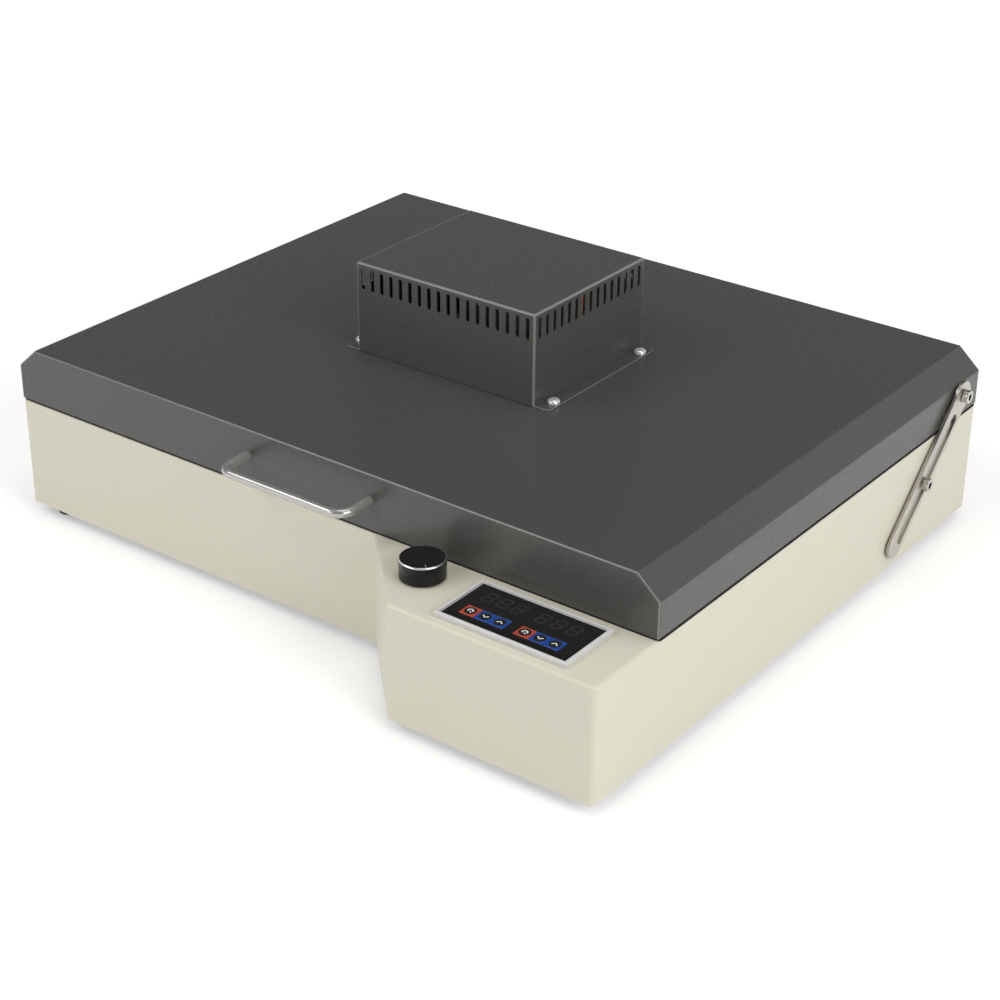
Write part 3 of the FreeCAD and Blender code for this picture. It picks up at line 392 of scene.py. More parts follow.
class Palette:
    """Material of each slot of the record, and of the details that have one of their own."""

    def __init__(self) -> None:
        """Makes every finish once."""
        zinc = (0.60, 0.61, 0.62)
        finishes = {
            "base_paint": PowderCoat("cream_powder_coat", (0.665, 0.635, 0.52), 0.42, specular=0.35),
            "lid_paint": PowderCoat("grey_powder_coat", (0.065, 0.066, 0.061), 0.28, specular=0.55,
                                    variation=0.02, relief=0.005),
            # Lighter grey painted on the folds and edges of the lid and the vent cover: a painted highlight
            # along the bends
            "painted_fold_highlight": PowderCoat("worn_grey_fold", (0.20, 0.20, 0.19), 0.3, variation=0.15),
            "zinc_sheet": SpangledZinc("zinc_sheet", zinc),
            "zinc_screw": PlatedSteel("zinc_plate", zinc, 0.30),
            "nickel_steel": PlatedSteel("satin_nickel", (0.53, 0.50, 0.455), 0.34, Grain.ALONG_Y),
            "nickel_screw": PlatedSteel("bright_nickel", (0.88, 0.87, 0.85), 0.26, metallic=0.6),
            "handle_steel": PlatedSteel("polished_bar", (0.48, 0.47, 0.455), 0.22, Grain.ALONG_X,
                                        metallic=0.65),
            "stainless": PlatedSteel("rolled_stainless", (0.62, 0.62, 0.61), 0.28, Grain.ALONG_X),
            "rack_steel": PlatedSteel("bright_strip", (0.66, 0.66, 0.65), 0.3, Grain.ALONG_Y),
            "black_rubber": Moulding("black_rubber", (0.008, 0.008, 0.008), 0.75, relief=0.02, specular=0.15),
            "ceramic_fibre": FibreFelt("ceramic_fibre", (0.86, 0.85, 0.81)),
            "ceramic": Moulding("white_ceramic", (0.84, 0.83, 0.78), 0.55, relief=0.03),
            "quartz": MilkyQuartz("milky_quartz", (0.86, 0.84, 0.80)),
            "motor_case": PlatedSteel("cast_aluminium", (0.52, 0.53, 0.54), 0.42, relief=0.02),
            "red_lead": Moulding("red_silicone", (0.50, 0.02, 0.02), 0.5),
            "white_plastic": Moulding("white_plastic", (0.62, 0.62, 0.61), 0.36),
            "black_plastic": Moulding("black_plastic", (0.02, 0.02, 0.022), 0.45),
            "display_black": GlossFilm("dark_display_film", (0.005, 0.004, 0.004), coat=0.1),
            "display_module": Moulding("display_module", (0.05, 0.05, 0.05), 0.5),
            "circuit_board": SolderMask("solder_mask", (0.02, 0.14, 0.06), (0.04, 0.22, 0.09)),
            "key_red": GlossFilm("brick_red_key", (0.40, 0.055, 0.028), 0.3),
            "key_blue": GlossFilm("blue_key", (0.008, 0.055, 0.29), 0.3),
            "knob_black": TurnedTop("black_anodised", (0.006, 0.006, 0.007), KNOB_CENTRE),
            "brass_pin": PlatedSteel("plated_brass", (0.75, 0.62, 0.36), 0.25, Grain.ALONG_Y),
            "rocker_plastic": Moulding("gloss_black_plastic", (0.018, 0.018, 0.018), 0.22),
            "bright_rim": PlatedSteel("bright_cut_rim", (0.88, 0.88, 0.87), 0.3),
            "stay_bolt": PlatedSteel("satin_bolt", (0.56, 0.54, 0.50), 0.28),
            "white_lead": Moulding("white_silicone", (0.78, 0.78, 0.76), 0.5),
            "white_print": Moulding("white_print", (0.80, 0.80, 0.78), 0.5),
            "dark_print": GlossFilm("dark_print", (0.009, 0.009, 0.010), 0.3),
            "unlit_segment": Moulding("unlit_segment", (0.027, 0.024, 0.021), 0.4),
            # Grey painted on the meter bezel's sloped inner edge as painted shade
            "grey_bevel": Moulding("grey_bevel", (0.30, 0.30, 0.30), 0.4),
        }
        self.made = {slot: finish.material() for slot, finish in finishes.items()}

    def of(self, slot: str) -> Material:
        """Material of one slot."""
        return self.made[slot]

    def coat(self, mesh: Mesh, *slots: str) -> None:
        """Adds the materials of some slots to a mesh in order."""
        for slot in slots:
            mesh.materials.append(self.made[slot])


# Meshes

SMOOTH_ANGLE = 34.0
TUBE_ANGLE = 50.0
MERGE_REACH = 0.004
FLAT_ANGLE = 0.6
# Shares of the radius and of the height along the side of a domed screw head
DOME = ((1, 0), (1, 0.42), (0.93, 0.66), (0.75, 0.86), (0.45, 0.97))
DOME_FACETS = 32
RECESS_REACH = 0.55
RECESS_FLOOR = 0.5


class Course(Enum):
    """How a round bar follows its points."""

    THROUGH = "POLY"
    SLACK = "NURBS"


def new_object(name: str, data: bpy.types.ID) -> Piece:
    """Object at the origin that carries a mesh, a curve, a lamp or a camera."""
    piece = bpy.data.objects.new(name, data)
    bpy.context.scene.collection.objects.link(piece)
    return piece


def mesh_from(name: str, work: Work) -> Mesh:
    """Mesh of a finished working mesh, which is freed."""
    mesh = bpy.data.meshes.new(name)
    work.to_mesh(mesh)
    work.free()
    return mesh


def drafted(name: str, work: Work) -> Piece:
    """Object that shows a finished working mesh."""
    return new_object(name, mesh_from(name, work))


def settled(piece: Piece, name: str) -> Piece:
    """Replaces an object and its modifiers by a plain mesh.

    Args:
        piece: Object with live modifiers, or a curve.
        name: Name of the plain object.

    Returns:
        The plain object.
    """
    bpy.context.view_layer.update()
    evaluated = piece.evaluated_get(bpy.context.evaluated_depsgraph_get())
    mesh = bpy.data.meshes.new_from_object(evaluated)
    mesh.name = name
    bpy.data.objects.remove(piece)
    return new_object(name, mesh)


def smoothed(piece: Piece, angle: float = SMOOTH_ANGLE) -> Piece:
    """Shades round stretches smooth and keeps flat faces flat.

    Args:
        piece: Plain mesh object.
        angle: Edge angle in degrees above which an edge stays sharp.

    Returns:
        The shaded object.
    """
    name = piece.name
    piece.data.shade_smooth()
    piece.data.set_sharp_from_angle(angle=math.radians(angle))
    weight = piece.modifiers.new("flat_faces", "WEIGHTED_NORMAL")
    weight.keep_sharp = True
    piece.name = name + "_draft"
    return settled(piece, name)


def break_edges(piece: Piece, width: float, steps: int, angle: float, finish: int = -1) -> None:
    """Gives a piece a live bevel on its sharp edges.

    Args:
        piece: Plain mesh object.
        width: Width of the bevel in millimetres.
        steps: Facets across it.
        angle: Edge angle in degrees above which an edge is broken.
        finish: Index of its finish, or -1 for that of the faces beside it.
    """
    bevel = piece.modifiers.new("broken_edges", "BEVEL")
    bevel.width = width * MM
    bevel.segments = steps
    bevel.limit_method = "ANGLE"
    bevel.angle_limit = math.radians(angle)
    bevel.material = finish


def round_off(work: Work, edges: Edges, radius: float, steps: int, finish: int = 0) -> None:
    """Rounds edges of a working mesh by a radius in millimetres and gives them the finish of that index."""
    bmesh.ops.bevel(work, geom=edges, offset=radius * MM, segments=steps, profile=0.5, affect="EDGES",
                    clamp_overlap=True, material=finish)


def show(piece: Piece, material: Material, body: str, slot: str, *nodes: str) -> Piece:
    """Puts a piece on its body and reports it.

    Args:
        piece: Plain mesh object.
        material: Its finish, unless its mesh has finishes already.
        body: Body that it rides on.
        slot: Slot of the record that its finish comes from; not used.
        nodes: Nodes that it stands for.

    Returns:
        The piece.
    """
    if not any(piece.data.materials):
        piece.data.materials.clear()
        piece.data.materials.append(material)
    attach(piece, body)
    if nodes:
        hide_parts(*nodes)
    LOG.info("%s rides on %s with %d faces", piece.name, body, len(piece.data.polygons))
    return piece


def lathe(profile: Sequence[Point], steps: int = 48) -> Work:
    """Turned solid around the Z axis.

    Args:
        profile: Radius and height of each point from the lower to the upper end, in millimetres.
        steps: Number of facets around.

    Returns:
        The closed working mesh in metres.
    """
    work = bmesh.new()
    turns = [2 * math.pi * step / steps for step in range(steps)]
    rings = []
    for radius, height in profile:
        ring = [(radius * math.cos(a), radius * math.sin(a)) for a in turns] if radius > 0 else [(0, 0)]
        rings.append([work.verts.new(mm(x, y, height)) for x, y in ring])
    for low, high in zip(rings, rings[1:]):
        for step in range(steps):
            after = (step + 1) % steps
            corners = [low[step % len(low)], low[after % len(low)]]
            corners += [high[after % len(high)], high[step % len(high)]]
            face = list(dict.fromkeys(corners))
            if len(face) > 2:
                work.faces.new(face)
    bmesh.ops.recalc_face_normals(work, faces=work.faces)
    return work


def flat_plate(outline: Sequence[Point], low: float, high: float) -> Work:
    """Upright prism on a plan outline.

    Args:
        outline: Corners on the plan in millimetres, counter-clockwise.
        low: Lower height in millimetres.
        high: Upper height in millimetres.

    Returns:
        The closed working mesh in metres.
    """
    work = bmesh.new()
    lower = [work.verts.new(mm(x, y, low)) for x, y in outline]
    upper = [work.verts.new(mm(x, y, high)) for x, y in outline]
    work.faces.new(lower[::-1])
    work.faces.new(upper)
    for index, corner in enumerate(lower):
        after = (index + 1) % len(lower)
        work.faces.new((corner, lower[after], upper[after], upper[index]))
    return work


def joined(parts: Iterable[Work]) -> Work:
    """One working mesh of several, which are freed."""
    whole = bmesh.new()
    for part in parts:
        mesh = mesh_from("part", part)
        whole.from_mesh(mesh)
        bpy.data.meshes.remove(mesh)
    return whole


def pan_head(radius: float, height: float, recess: float) -> Work:
    """Domed screw head with a cross recess, standing on the origin.

    Args:
        radius: Its radius in millimetres.
        height: Its height.
        recess: Width of the recess.

    Returns:
        The closed working mesh in metres.
    """
    side = [(radius * out, height * up) for out, up in DOME]
    draft = drafted("screw_draft", lathe([(0, 0), *side, (0, height)], DOME_FACETS))
    reach, arm = radius * RECESS_REACH, recess / 2
    quarter = [(reach, arm), (arm, arm), (arm, reach)]
    half = quarter + [(-x, y) for x, y in quarter[::-1]]
    cross = half + [(-x, -y) for x, y in half]
    tool = drafted("cross_tool", flat_plate(cross, height * RECESS_FLOOR, height * (1 + RECESS_FLOOR)))
    cut = draft.modifiers.new("recess", "BOOLEAN")
    cut.operation = "DIFFERENCE"
    cut.object = tool
    head = settled(draft, "screw_head")
    work = bmesh.new()
    work.from_mesh(head.data)
    bpy.data.objects.remove(head)
    bpy.data.objects.remove(tool)
    return work


def arc(centre: Point, radius: float, start: float, end: float, steps: int) -> list[Point]:
    """Points along an arc between two angles in degrees, one more than its steps."""
    angles = [math.radians(start + (end - start) * step / steps) for step in range(steps + 1)]
    return [(centre[0] + radius * math.cos(a), centre[1] + radius * math.sin(a)) for a in angles]


def tube(name: str, route: Sequence[Vector], radius: float, course: Course = Course.THROUGH) -> Piece:
    """Round bar along a curve.

    Args:
        name: Name of the result.
        route: Its points in metres.
        radius: Its radius in millimetres.
        course: How it follows the points.

    Returns:
        The plain object.
    """
    curve = bpy.data.curves.new(name, "CURVE")
    curve.dimensions = "3D"
    curve.bevel_depth = radius * MM
    curve.bevel_resolution = 6
    curve.use_fill_caps = True
    spline = curve.splines.new(course.value)
    spline.points.add(len(route) - 1)
    for point, place in zip(spline.points, route):
        point.co = (*place, 1.0)
    spline.use_endpoint_u = True
    spline.order_u = 4
    return smoothed(settled(new_object(name + "_draft", curve), name), TUBE_ANGLE)


def node_copy(node: str) -> Work:
    """Merged working copy of a CAD node, with its flat faces whole."""
    work = bmesh.new()
    work.from_mesh(frame["nodes"][node].data)
    bmesh.ops.remove_doubles(work, verts=work.verts, dist=MERGE_REACH * MM)
    bmesh.ops.dissolve_limit(work, angle_limit=math.radians(FLAT_ANGLE), verts=work.verts, edges=work.edges)
    return work


# Geometry Nodes


class NodeRecipe(NodeTree):
    """Geometry node tree with named inputs, run once on an object."""

    def __init__(self, name: str) -> None:
        """Starts a tree with a geometry input and output.

        Args:
            name: Name of the tree.
        """
        super().__init__(bpy.data.node_groups.new(name, "GeometryNodeTree"))
        for way in ("INPUT", "OUTPUT"):
            self.tree.interface.new_socket("Geometry", in_out=way, socket_type="NodeSocketGeometry")
        self.start = self.add("NodeGroupInput")
        self.end = self.add("NodeGroupOutput")
        self.identifiers: dict[str, str] = {}

    def ask(self, name: str, kind: str) -> Socket:
        """Adds a named input.

        Args:
            name: Name of the input.
            kind: Type of its socket, such as Float or Object.

        Returns:
            The socket inside the tree.
        """
        item = self.tree.interface.new_socket(name, in_out="INPUT", socket_type="NodeSocket" + kind)
        self.identifiers[name] = item.identifier
        return self.start.outputs[name]

    def close(self, geometry: Socket, finish: Socket) -> None:
        """Ends the tree in Realize Instances and Set Material.

        Args:
            geometry: Geometry to hand on.
            finish: Material input.
        """
        real = self.add("GeometryNodeRealizeInstances", {"Geometry": geometry})
        painted = self.add("GeometryNodeSetMaterial", {"Geometry": real.outputs[0], "Material": finish})
        self.tree.links.new(painted.outputs[0], self.end.inputs[0])

    def run(self, piece: Piece, name: str, values: dict[str, object]) -> Piece:
        """Runs the tree on an object.

        Args:
            piece: Object that carries the input geometry.
            name: Name of the result.
            values: Value of each named input.

        Returns:
            The plain result.
        """
        modifier = piece.modifiers.new("recipe", "NODES")
        modifier.node_group = self.tree
        for label, value in values.items():
            modifier[self.identifiers[label]] = value
        return settled(piece, name)


def repeat_recipe() -> NodeRecipe:
    """Tree that sets one template on every point of a mesh."""
    recipe = NodeRecipe("set_on_points")
    template = recipe.ask("Template", "Object")
    turn = recipe.ask("Turn", "Rotation")
    finish = recipe.ask("Finish", "Material")
    points = recipe.start.outputs["Geometry"]
    model = recipe.add("GeometryNodeObjectInfo", {"Object": template}).outputs["Geometry"]
    spots = {"Points": points, "Instance": model, "Rotation": turn}
    copies = recipe.add("GeometryNodeInstanceOnPoints", spots)
    recipe.close(copies.outputs[0], finish)
    return recipe


def slot_recipe() -> NodeRecipe:
    """Tree that cuts a row of slots through the front and rear, and one through both sides, of a cover."""
    recipe = NodeRecipe("slot_rows")
    cutter = recipe.ask("Cutter", "Object")
    pitch = recipe.ask("Pitch", "Float")
    middle = recipe.ask("Middle", "Vector")
    front = recipe.ask("Front Slots", "Int")
    side = recipe.ask("Side Slots", "Int")
    finish = recipe.ask("Finish", "Material")
    tool = recipe.add("GeometryNodeObjectInfo", {"Object": cutter}).outputs["Geometry"]
    body = recipe.start.outputs["Geometry"]
    for count, axis, turn in ((front, 0, 0.0), (side, 1, math.pi / 2)):
        gaps = recipe.add("ShaderNodeMath", {0: count}, {1: 1.0}, operation="SUBTRACT").outputs[0]
        span = recipe.add("ShaderNodeMath", {0: gaps, 1: pitch}, operation="MULTIPLY").outputs[0]
        half = recipe.add("ShaderNodeMath", {0: span}, {1: -0.5}, operation="MULTIPLY").outputs[0]
        back = recipe.add("ShaderNodeCombineXYZ", {axis: half}).outputs[0]
        begin = recipe.add("ShaderNodeVectorMath", {0: middle, 1: back}, operation="ADD").outputs[0]
        step = recipe.add("ShaderNodeCombineXYZ", {axis: pitch}).outputs[0]
        line = {"Count": count, "Start Location": begin, "Offset": step}
        row = recipe.add("GeometryNodeMeshLine", line).outputs[0]
        spots = {"Points": row, "Instance": tool}
        cuts = recipe.add("GeometryNodeInstanceOnPoints", spots, {"Rotation": Euler((0, 0, turn))}).outputs[0]
        real = recipe.add("GeometryNodeRealizeInstances", {"Geometry": cuts}).outputs[0]
        walls = {"Mesh 1": body, "Mesh 2": real}
        body = recipe.add("GeometryNodeMeshBoolean", walls, operation="DIFFERENCE").outputs["Mesh"]
    recipe.close(body, finish)
    return recipe


class Edge(Enum):
    """Width of the broken edges of a piece in millimetres."""

    HAIR = 0.15
    FINE = 0.2
    SHEET = 0.25
    PLAIN = 0.3
    WIDE = 0.35
    MOULDED = 0.5


class Workshop:
    """Finishes, node trees and edge settings shared by every sub-assembly; angles in degrees."""

    edge_angle = 38.0
    edge_steps = 2
    round_steps = 3
    fold_steps = 5

    def __init__(self) -> None:
        """Makes the finishes and the trees."""
        self.palette = Palette()
        self.repeat = repeat_recipe()
        self.slots = slot_recipe()
        record = frame["record"]
        self.slot_of = {entry["node"]: entry["material_slot"] for entry in record["subparts"]}
        self.body_of = {node: body for body, nodes in record["behaviour"]["bodies"].items() for node in nodes}

    def stand_in(self, piece: Piece, node: str) -> Piece:
        """Shows a piece in place of a CAD node, on the node's body and with its finish."""
        slot = self.slot_of[node]
        return show(piece, self.palette.of(slot), self.body_of[node], slot, node)

    def trim(self, edge: Edge, node: str, steps: int = edge_steps,
             fold: Callable[[Work], Edges] | None = None, fold_radius: float = 0.0) -> Piece:
        """Dressed copy of a CAD node with broken edges.

        Args:
            edge: Width of its broken edges.
            node: Name of the node.
            steps: Facets across an edge.
            fold: Picks the edges that are folded with a larger radius.
            fold_radius: That radius in millimetres.

        Returns:
            The shown piece.
        """
        work = node_copy(node)
        if fold is not None:
            round_off(work, fold(work), fold_radius, self.fold_steps)
        draft = drafted(node + "_draft", work)
        break_edges(draft, edge.value, steps, self.edge_angle)
        return self.stand_in(smoothed(settled(draft, node + "_trim")), node)

    def trim_all(self, edge: Edge, *nodes: str, steps: int = edge_steps) -> None:
        """Dressed copies of several CAD nodes with the same broken edges."""
        for node in nodes:
            self.trim(edge, node, steps)

    def paint(self, *nodes: str) -> None:
        """Gives CAD nodes that stay as they are their finishes.

        Args:
            nodes: Names of the nodes.
        """
        for node in nodes:
            mesh = frame["nodes"][node].data
            mesh.materials.clear()
            self.palette.coat(mesh, self.slot_of[node])
            LOG.info("%s keeps its solid, in %s", node, self.slot_of[node])

    def set_on(self, name: str, template: Work, spots: Iterable[Vector], turn: Euler, slot: str, body: str,
               *nodes: str, finish: str = "") -> Piece:
        """Sets one template on several places with Geometry Nodes.

        Args:
            name: Name of the piece.
            template: Working mesh at the origin.
            spots: Places in metres.
            turn: Turn of every copy.
            slot: Slot of its finish.
            body: Body that it rides on.
            nodes: Nodes that it stands for.
            finish: Finish where it isn't the slot's own.

        Returns:
            The shown piece.
        """
        material = self.palette.of(finish or slot)
        model = drafted(name + "_template", template)
        points = bpy.data.meshes.new(name + "_points")
        points.from_pydata([tuple(spot) for spot in spots], [], [])
        carrier = new_object(name + "_points", points)
        piece = self.repeat.run(carrier, name, {"Template": model, "Turn": turn, "Finish": material})
        bpy.data.objects.remove(model)
        return show(smoothed(piece), material, body, slot, *nodes)


# Sub-assemblies


@dataclass
class BaseHousing:
    """Cream base with its console, plate and feet; sizes in millimetres."""

    shop: Workshop
    fold_radius: float = 2.2
    wall_drop: float = 20.0
    flush: float = 0.01
    upright: float = 0.1
    foot_radius: float = 8.0
    foot_taper: float = 1.0
    foot_height: float = 8.0
    foot_edge: float = 0.8
    sole_ring: float = 2.6
    sole_hollow: float = 0.6

    def fold_edges(self, work: Work) -> Edges:
        """Edges between the deck and the outer walls.

        Args:
            work: Working copy of the housing.

        Returns:
            The edges to fold.
        """
        deck = max(vert.co.z for vert in work.verts)
        folds = []
        for edge in work.edges:
            if min(vert.co.z for vert in edge.verts) < deck - self.flush * MM or len(edge.link_faces) != 2:
                continue
            walls = [face for face in edge.link_faces if abs(face.normal.z) < self.upright]
            if walls and min(vert.co.z for vert in walls[0].verts) < deck - self.wall_drop * MM:
                folds.append(edge)
        return folds

    def foot(self) -> Work:
        """Tapered rubber foot with rounded edges and a hollow sole."""
        high, low = self.foot_radius, self.foot_radius - self.foot_taper
        ring, hollow, edge, top = low - self.sole_ring, self.sole_hollow, self.foot_edge, self.foot_height
        return lathe([(0, hollow), (ring - hollow, hollow), (ring, 0), (low - edge, 0), (low, edge),
                      (high, top - edge), (high - edge, top), (0, top)])

    def build(self) -> None:
        """Makes the housing and its feet."""
        self.shop.trim(Edge.PLAIN, "base_shell", fold=self.fold_edges, fold_radius=self.fold_radius)
        low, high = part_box("rubber_feet")
        inset = self.foot_radius * MM
        sides, ends = (low.x + inset, high.x - inset), (low.y + inset, high.y - inset)
        spots = [Vector((x, y, 0)) for x in sides for y in ends]
        self.shop.set_on("feet", self.foot(), spots, Euler(), "black_rubber", "base", "rubber_feet")

    def dress(self) -> None:
        """Finishes the plate and what stands on it."""
        self.shop.trim_all(Edge.FINE, "bottom_plate", "chassis_rails", "solid_state_relay")
        self.shop.paint("foot_screws", "base_insulation")


@dataclass
class OvenChamber:
    """Lower chamber with its rack, probe and seal; sizes in millimetres."""

    shop: Workshop
    seal_out: float = 0.4
    seal_drop: float = 0.6

    def seal(self) -> None:
        """Presses the seal out along both sides, where it shows as a black line."""
        work = node_copy("lid_gasket")
        low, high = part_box("lid_gasket")
        for vert in work.verts:
            if high.x - abs(vert.co.x) < MM:
                vert.co.x += math.copysign(self.seal_out * MM, vert.co.x)
                if vert.co.z < (low.z + high.z) / 2:
                    vert.co.z -= self.seal_drop * MM
        self.shop.stand_in(smoothed(drafted("pressed_seal", work)), "lid_gasket")

    def build(self) -> None:
        """Makes the chamber, the rack and the seal."""
        self.shop.trim(Edge.FINE, "chamber_pan")
        self.shop.trim(Edge.PLAIN, "work_rack")
        self.seal()

    def dress(self) -> None:
        """Finishes the probe."""
        self.shop.trim(Edge.FINE, "thermocouple")


@dataclass
class LidShell:
    """Grey lid with its liner, heaters and pull handle; sizes in millimetres."""

    shop: Workshop
    handle_radius: float = 3.0
    handle_bend: float = 10.0
    bend_steps: int = 10
    fold_facet: float = 0.5
    fold_reach: float = 2.0
    fold_band: Point = (0.5, 0.88)

    def paint_lid_fold_highlight(self, mesh: Mesh) -> None:
        """Paints a highlight on the narrow facets of the front and rear folds, in a lighter grey finish.

        Args:
            mesh: Mesh of the dressed lid.
        """
        self.shop.palette.coat(mesh, "painted_fold_highlight")
        low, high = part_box("lid_shell")
        reach = self.fold_reach * MM
        for face in mesh.polygons:
            corners = [mesh.vertices[index].co for index in face.vertices]
            longest = max((a - b).length for a, b in zip(corners, corners[1:] + corners[:1]))
            spot = face.center
            at_end = min(spot.y - low.y, high.y - spot.y) < reach and spot.z > low.z + reach
            halfway = self.fold_band[0] < abs(face.normal.y) < self.fold_band[1]
            # Painted highlight: these fold facets take the lighter grey
            if at_end and halfway and face.area < longest * self.fold_facet * MM:
                face.material_index = 1

    def handle_route(self) -> list[Vector]:
        """Centre line of the pull handle from its left to its right end.

        Returns:
            The points in metres.
        """
        low, high = node_box("handle")
        left, right = low.x + self.handle_radius, high.x - self.handle_radius
        outer, height = low.y + self.handle_radius, (low.z + high.z) / 2
        bend = self.handle_bend
        turns = arc((left + bend, outer + bend), bend, 180, 270, self.bend_steps)
        turns += arc((right - bend, outer + bend), bend, 270, 360, self.bend_steps)
        plan = [(left, high.y), *turns, (right, high.y)]
        return [mm(x, y, height) for x, y in plan]

    def build(self) -> None:
        """Makes the shell, the liner and the bent bar of the handle."""
        self.paint_lid_fold_highlight(self.shop.trim(Edge.SHEET, "lid_shell").data)
        self.shop.trim(Edge.FINE, "lid_liner")
        self.shop.stand_in(tube("pull_handle", self.handle_route(), self.handle_radius), "handle")

    def dress(self) -> None:
        """Finishes the heaters and what is hidden in the lid."""
        heaters = ("heater_guard", "heater_caps", "heater_clips", "heater_tubes")
        self.shop.trim_all(Edge.SHEET, *heaters, "lid_loom_bush")
        self.shop.paint("lid_insulation", "handle_screws")


@dataclass
class VentCover:
    """Folded cover over the fan motor with its rows of slots; sizes in millimetres."""

    shop: Workshop
    sheet: float = 1.2
    fold: float = 1.3
    fold_steps: int = 4
    fold_share: float = 0.99
    flange: float = 12.3
    flange_corner: float = 5.0
    corner_steps: int = 6
    flange_edge: float = 0.35
    wall_gap: float = 0.45
    slot_length: float = 15.6
    slot_width: float = 3.2
    slot_steps: int = 8
    slot_from_top: float = 3.6
    slot_edge: float = 0.25
    slot_edge_angle: float = 60.0
    edge_steps: int = 2
    pitch: float = 8.2
    front_slots: int = 18
    side_slots: int = 15
    screw_spread: float = 102.0
    screw_out: float = 7.2
    screw_head: float = 4.3
    screw_height: float = 2.8
    recess_width: float = 1.0
    # Grey paint, then the lighter grey of the painted highlight on folds and edges
    finishes: tuple[str, ...] = ("lid_paint", "painted_fold_highlight")

    def __post_init__(self) -> None:
        """Reads the cover's place from the frame."""
        self.low, self.high = node_box("vent_cover")
        self.half = self.high.x - self.flange
        self.middle_y = (self.low.y + self.high.y) / 2

    def shell(self) -> Piece:
        """Cover without its slots.

        Returns:
            The draft object, one sheet thick.
        """
        half, front, rear = self.half, self.low.y, self.high.y
        plan = [(-half, front), (half, front), (half, rear), (-half, rear)]
        outside = flat_plate(plan, self.low.z + self.wall_gap, self.high.z)
        outside.normal_update()
        bottom = min(outside.faces, key=lambda face: face.normal.z)
        bmesh.ops.delete(outside, geom=[bottom], context="FACES_ONLY")
        folds = [edge for edge in outside.edges if len(edge.link_faces) == 2]
        round_off(outside, folds, self.fold, self.fold_steps)
        draft = drafted("cover_draft", outside)
        wall = draft.modifiers.new("sheet", "SOLIDIFY")
        wall.thickness = self.sheet * MM
        wall.offset = -1.0
        wall.use_even_offset = True
        return settled(draft, "cover_shell")

    def paint_cover_highlights(self, mesh: Mesh) -> None:
        """Paints a highlight on the faces of the folds, in a lighter grey finish.

        Args:
            mesh: Mesh of the punched cover.
        """
        mesh.materials.clear()
        self.shop.palette.coat(mesh, *self.finishes)
        reach = self.fold * self.fold_share
        for face in mesh.polygons:
            spot = face.center / MM
            end = min(spot.y - self.low.y, self.high.y - spot.y)
            near = (self.half - abs(spot.x), end, self.high.z - spot.z)
            if sum(gap < reach for gap in near) > 1:
                face.material_index = 1

    def cutter(self) -> Piece:
        """Tool of one slot, round at both ends and long enough for opposite walls."""
        radius = self.slot_width / 2
        half = self.slot_length / 2 - radius
        outline = arc((0, half), radius, 0, 180, self.slot_steps)
        outline += arc((0, -half), radius, 180, 360, self.slot_steps)
        reach = self.half + 2 * self.sheet
        work = flat_plate(outline, -reach, reach)
        bmesh.ops.rotate(work, verts=work.verts, matrix=Matrix.Rotation(math.pi / 2, 3, "X"))
        return drafted("slot_tool", work)

    def flanges(self) -> Work:
        """Left and right flange with their round outer corners."""
        inner, outer, corner = self.half - self.sheet / 2, self.half + self.flange, self.flange_corner
        right = [(inner, self.low.y)]
        right += arc((outer - corner, self.low.y + corner), corner, 270, 360, self.corner_steps)
        right += arc((outer - corner, self.high.y - corner), corner, 0, 90, self.corner_steps)
        right += [(inner, self.high.y)]
        left = [(-x, y) for x, y in right[::-1]]
        work = joined(flat_plate(plan, self.low.z, self.low.z + self.sheet) for plan in (left, right))
        # The rounded flange edges take finish 1, the lighter grey of the painted highlight
        round_off(work, work.edges[:], self.flange_edge, self.edge_steps, 1)
        return work

    def build(self) -> None:
        """Makes the cover with its slots and flanges, with a painted highlight on its folds and edges."""
        tool = self.cutter()
        punched = self.shop.slots.run(self.shell(), "slotted_cover", {
            "Cutter": tool,
            "Pitch": self.pitch * MM,
            "Middle": mm(0, self.middle_y, self.high.z - self.slot_from_top - self.slot_length / 2),
            "Front Slots": self.front_slots,
            "Side Slots": self.side_slots,
            "Finish": self.shop.palette.of("lid_paint"),
        })
        bpy.data.objects.remove(tool)
        self.paint_cover_highlights(punched.data)
        # The broken slot edges take finish 1, the lighter grey of the painted highlight
        break_edges(punched, self.slot_edge, self.edge_steps, self.slot_edge_angle, 1)
        punched = settled(punched, "slotted_cover")
        work = self.flanges()
        work.from_mesh(punched.data)
        bpy.data.objects.remove(punched)
        cover = drafted("vent_cover_folded", work)
        self.shop.palette.coat(cover.data, *self.finishes)
        self.shop.stand_in(smoothed(cover), "vent_cover")

    def dress(self) -> None:
        """Sets the four screws."""
        x, y = self.half + self.screw_out, self.screw_spread / 2
        spots = [mm(side * x, self.middle_y + end * y, self.low.z + self.sheet)
                 for side in (-1, 1) for end in (-1, 1)]
        head = pan_head(self.screw_head, self.screw_height, self.recess_width)
        self.shop.set_on("cover_screw_heads", head, spots, Euler(), "nickel_screw", "lid",
                         "vent_cover_screws")


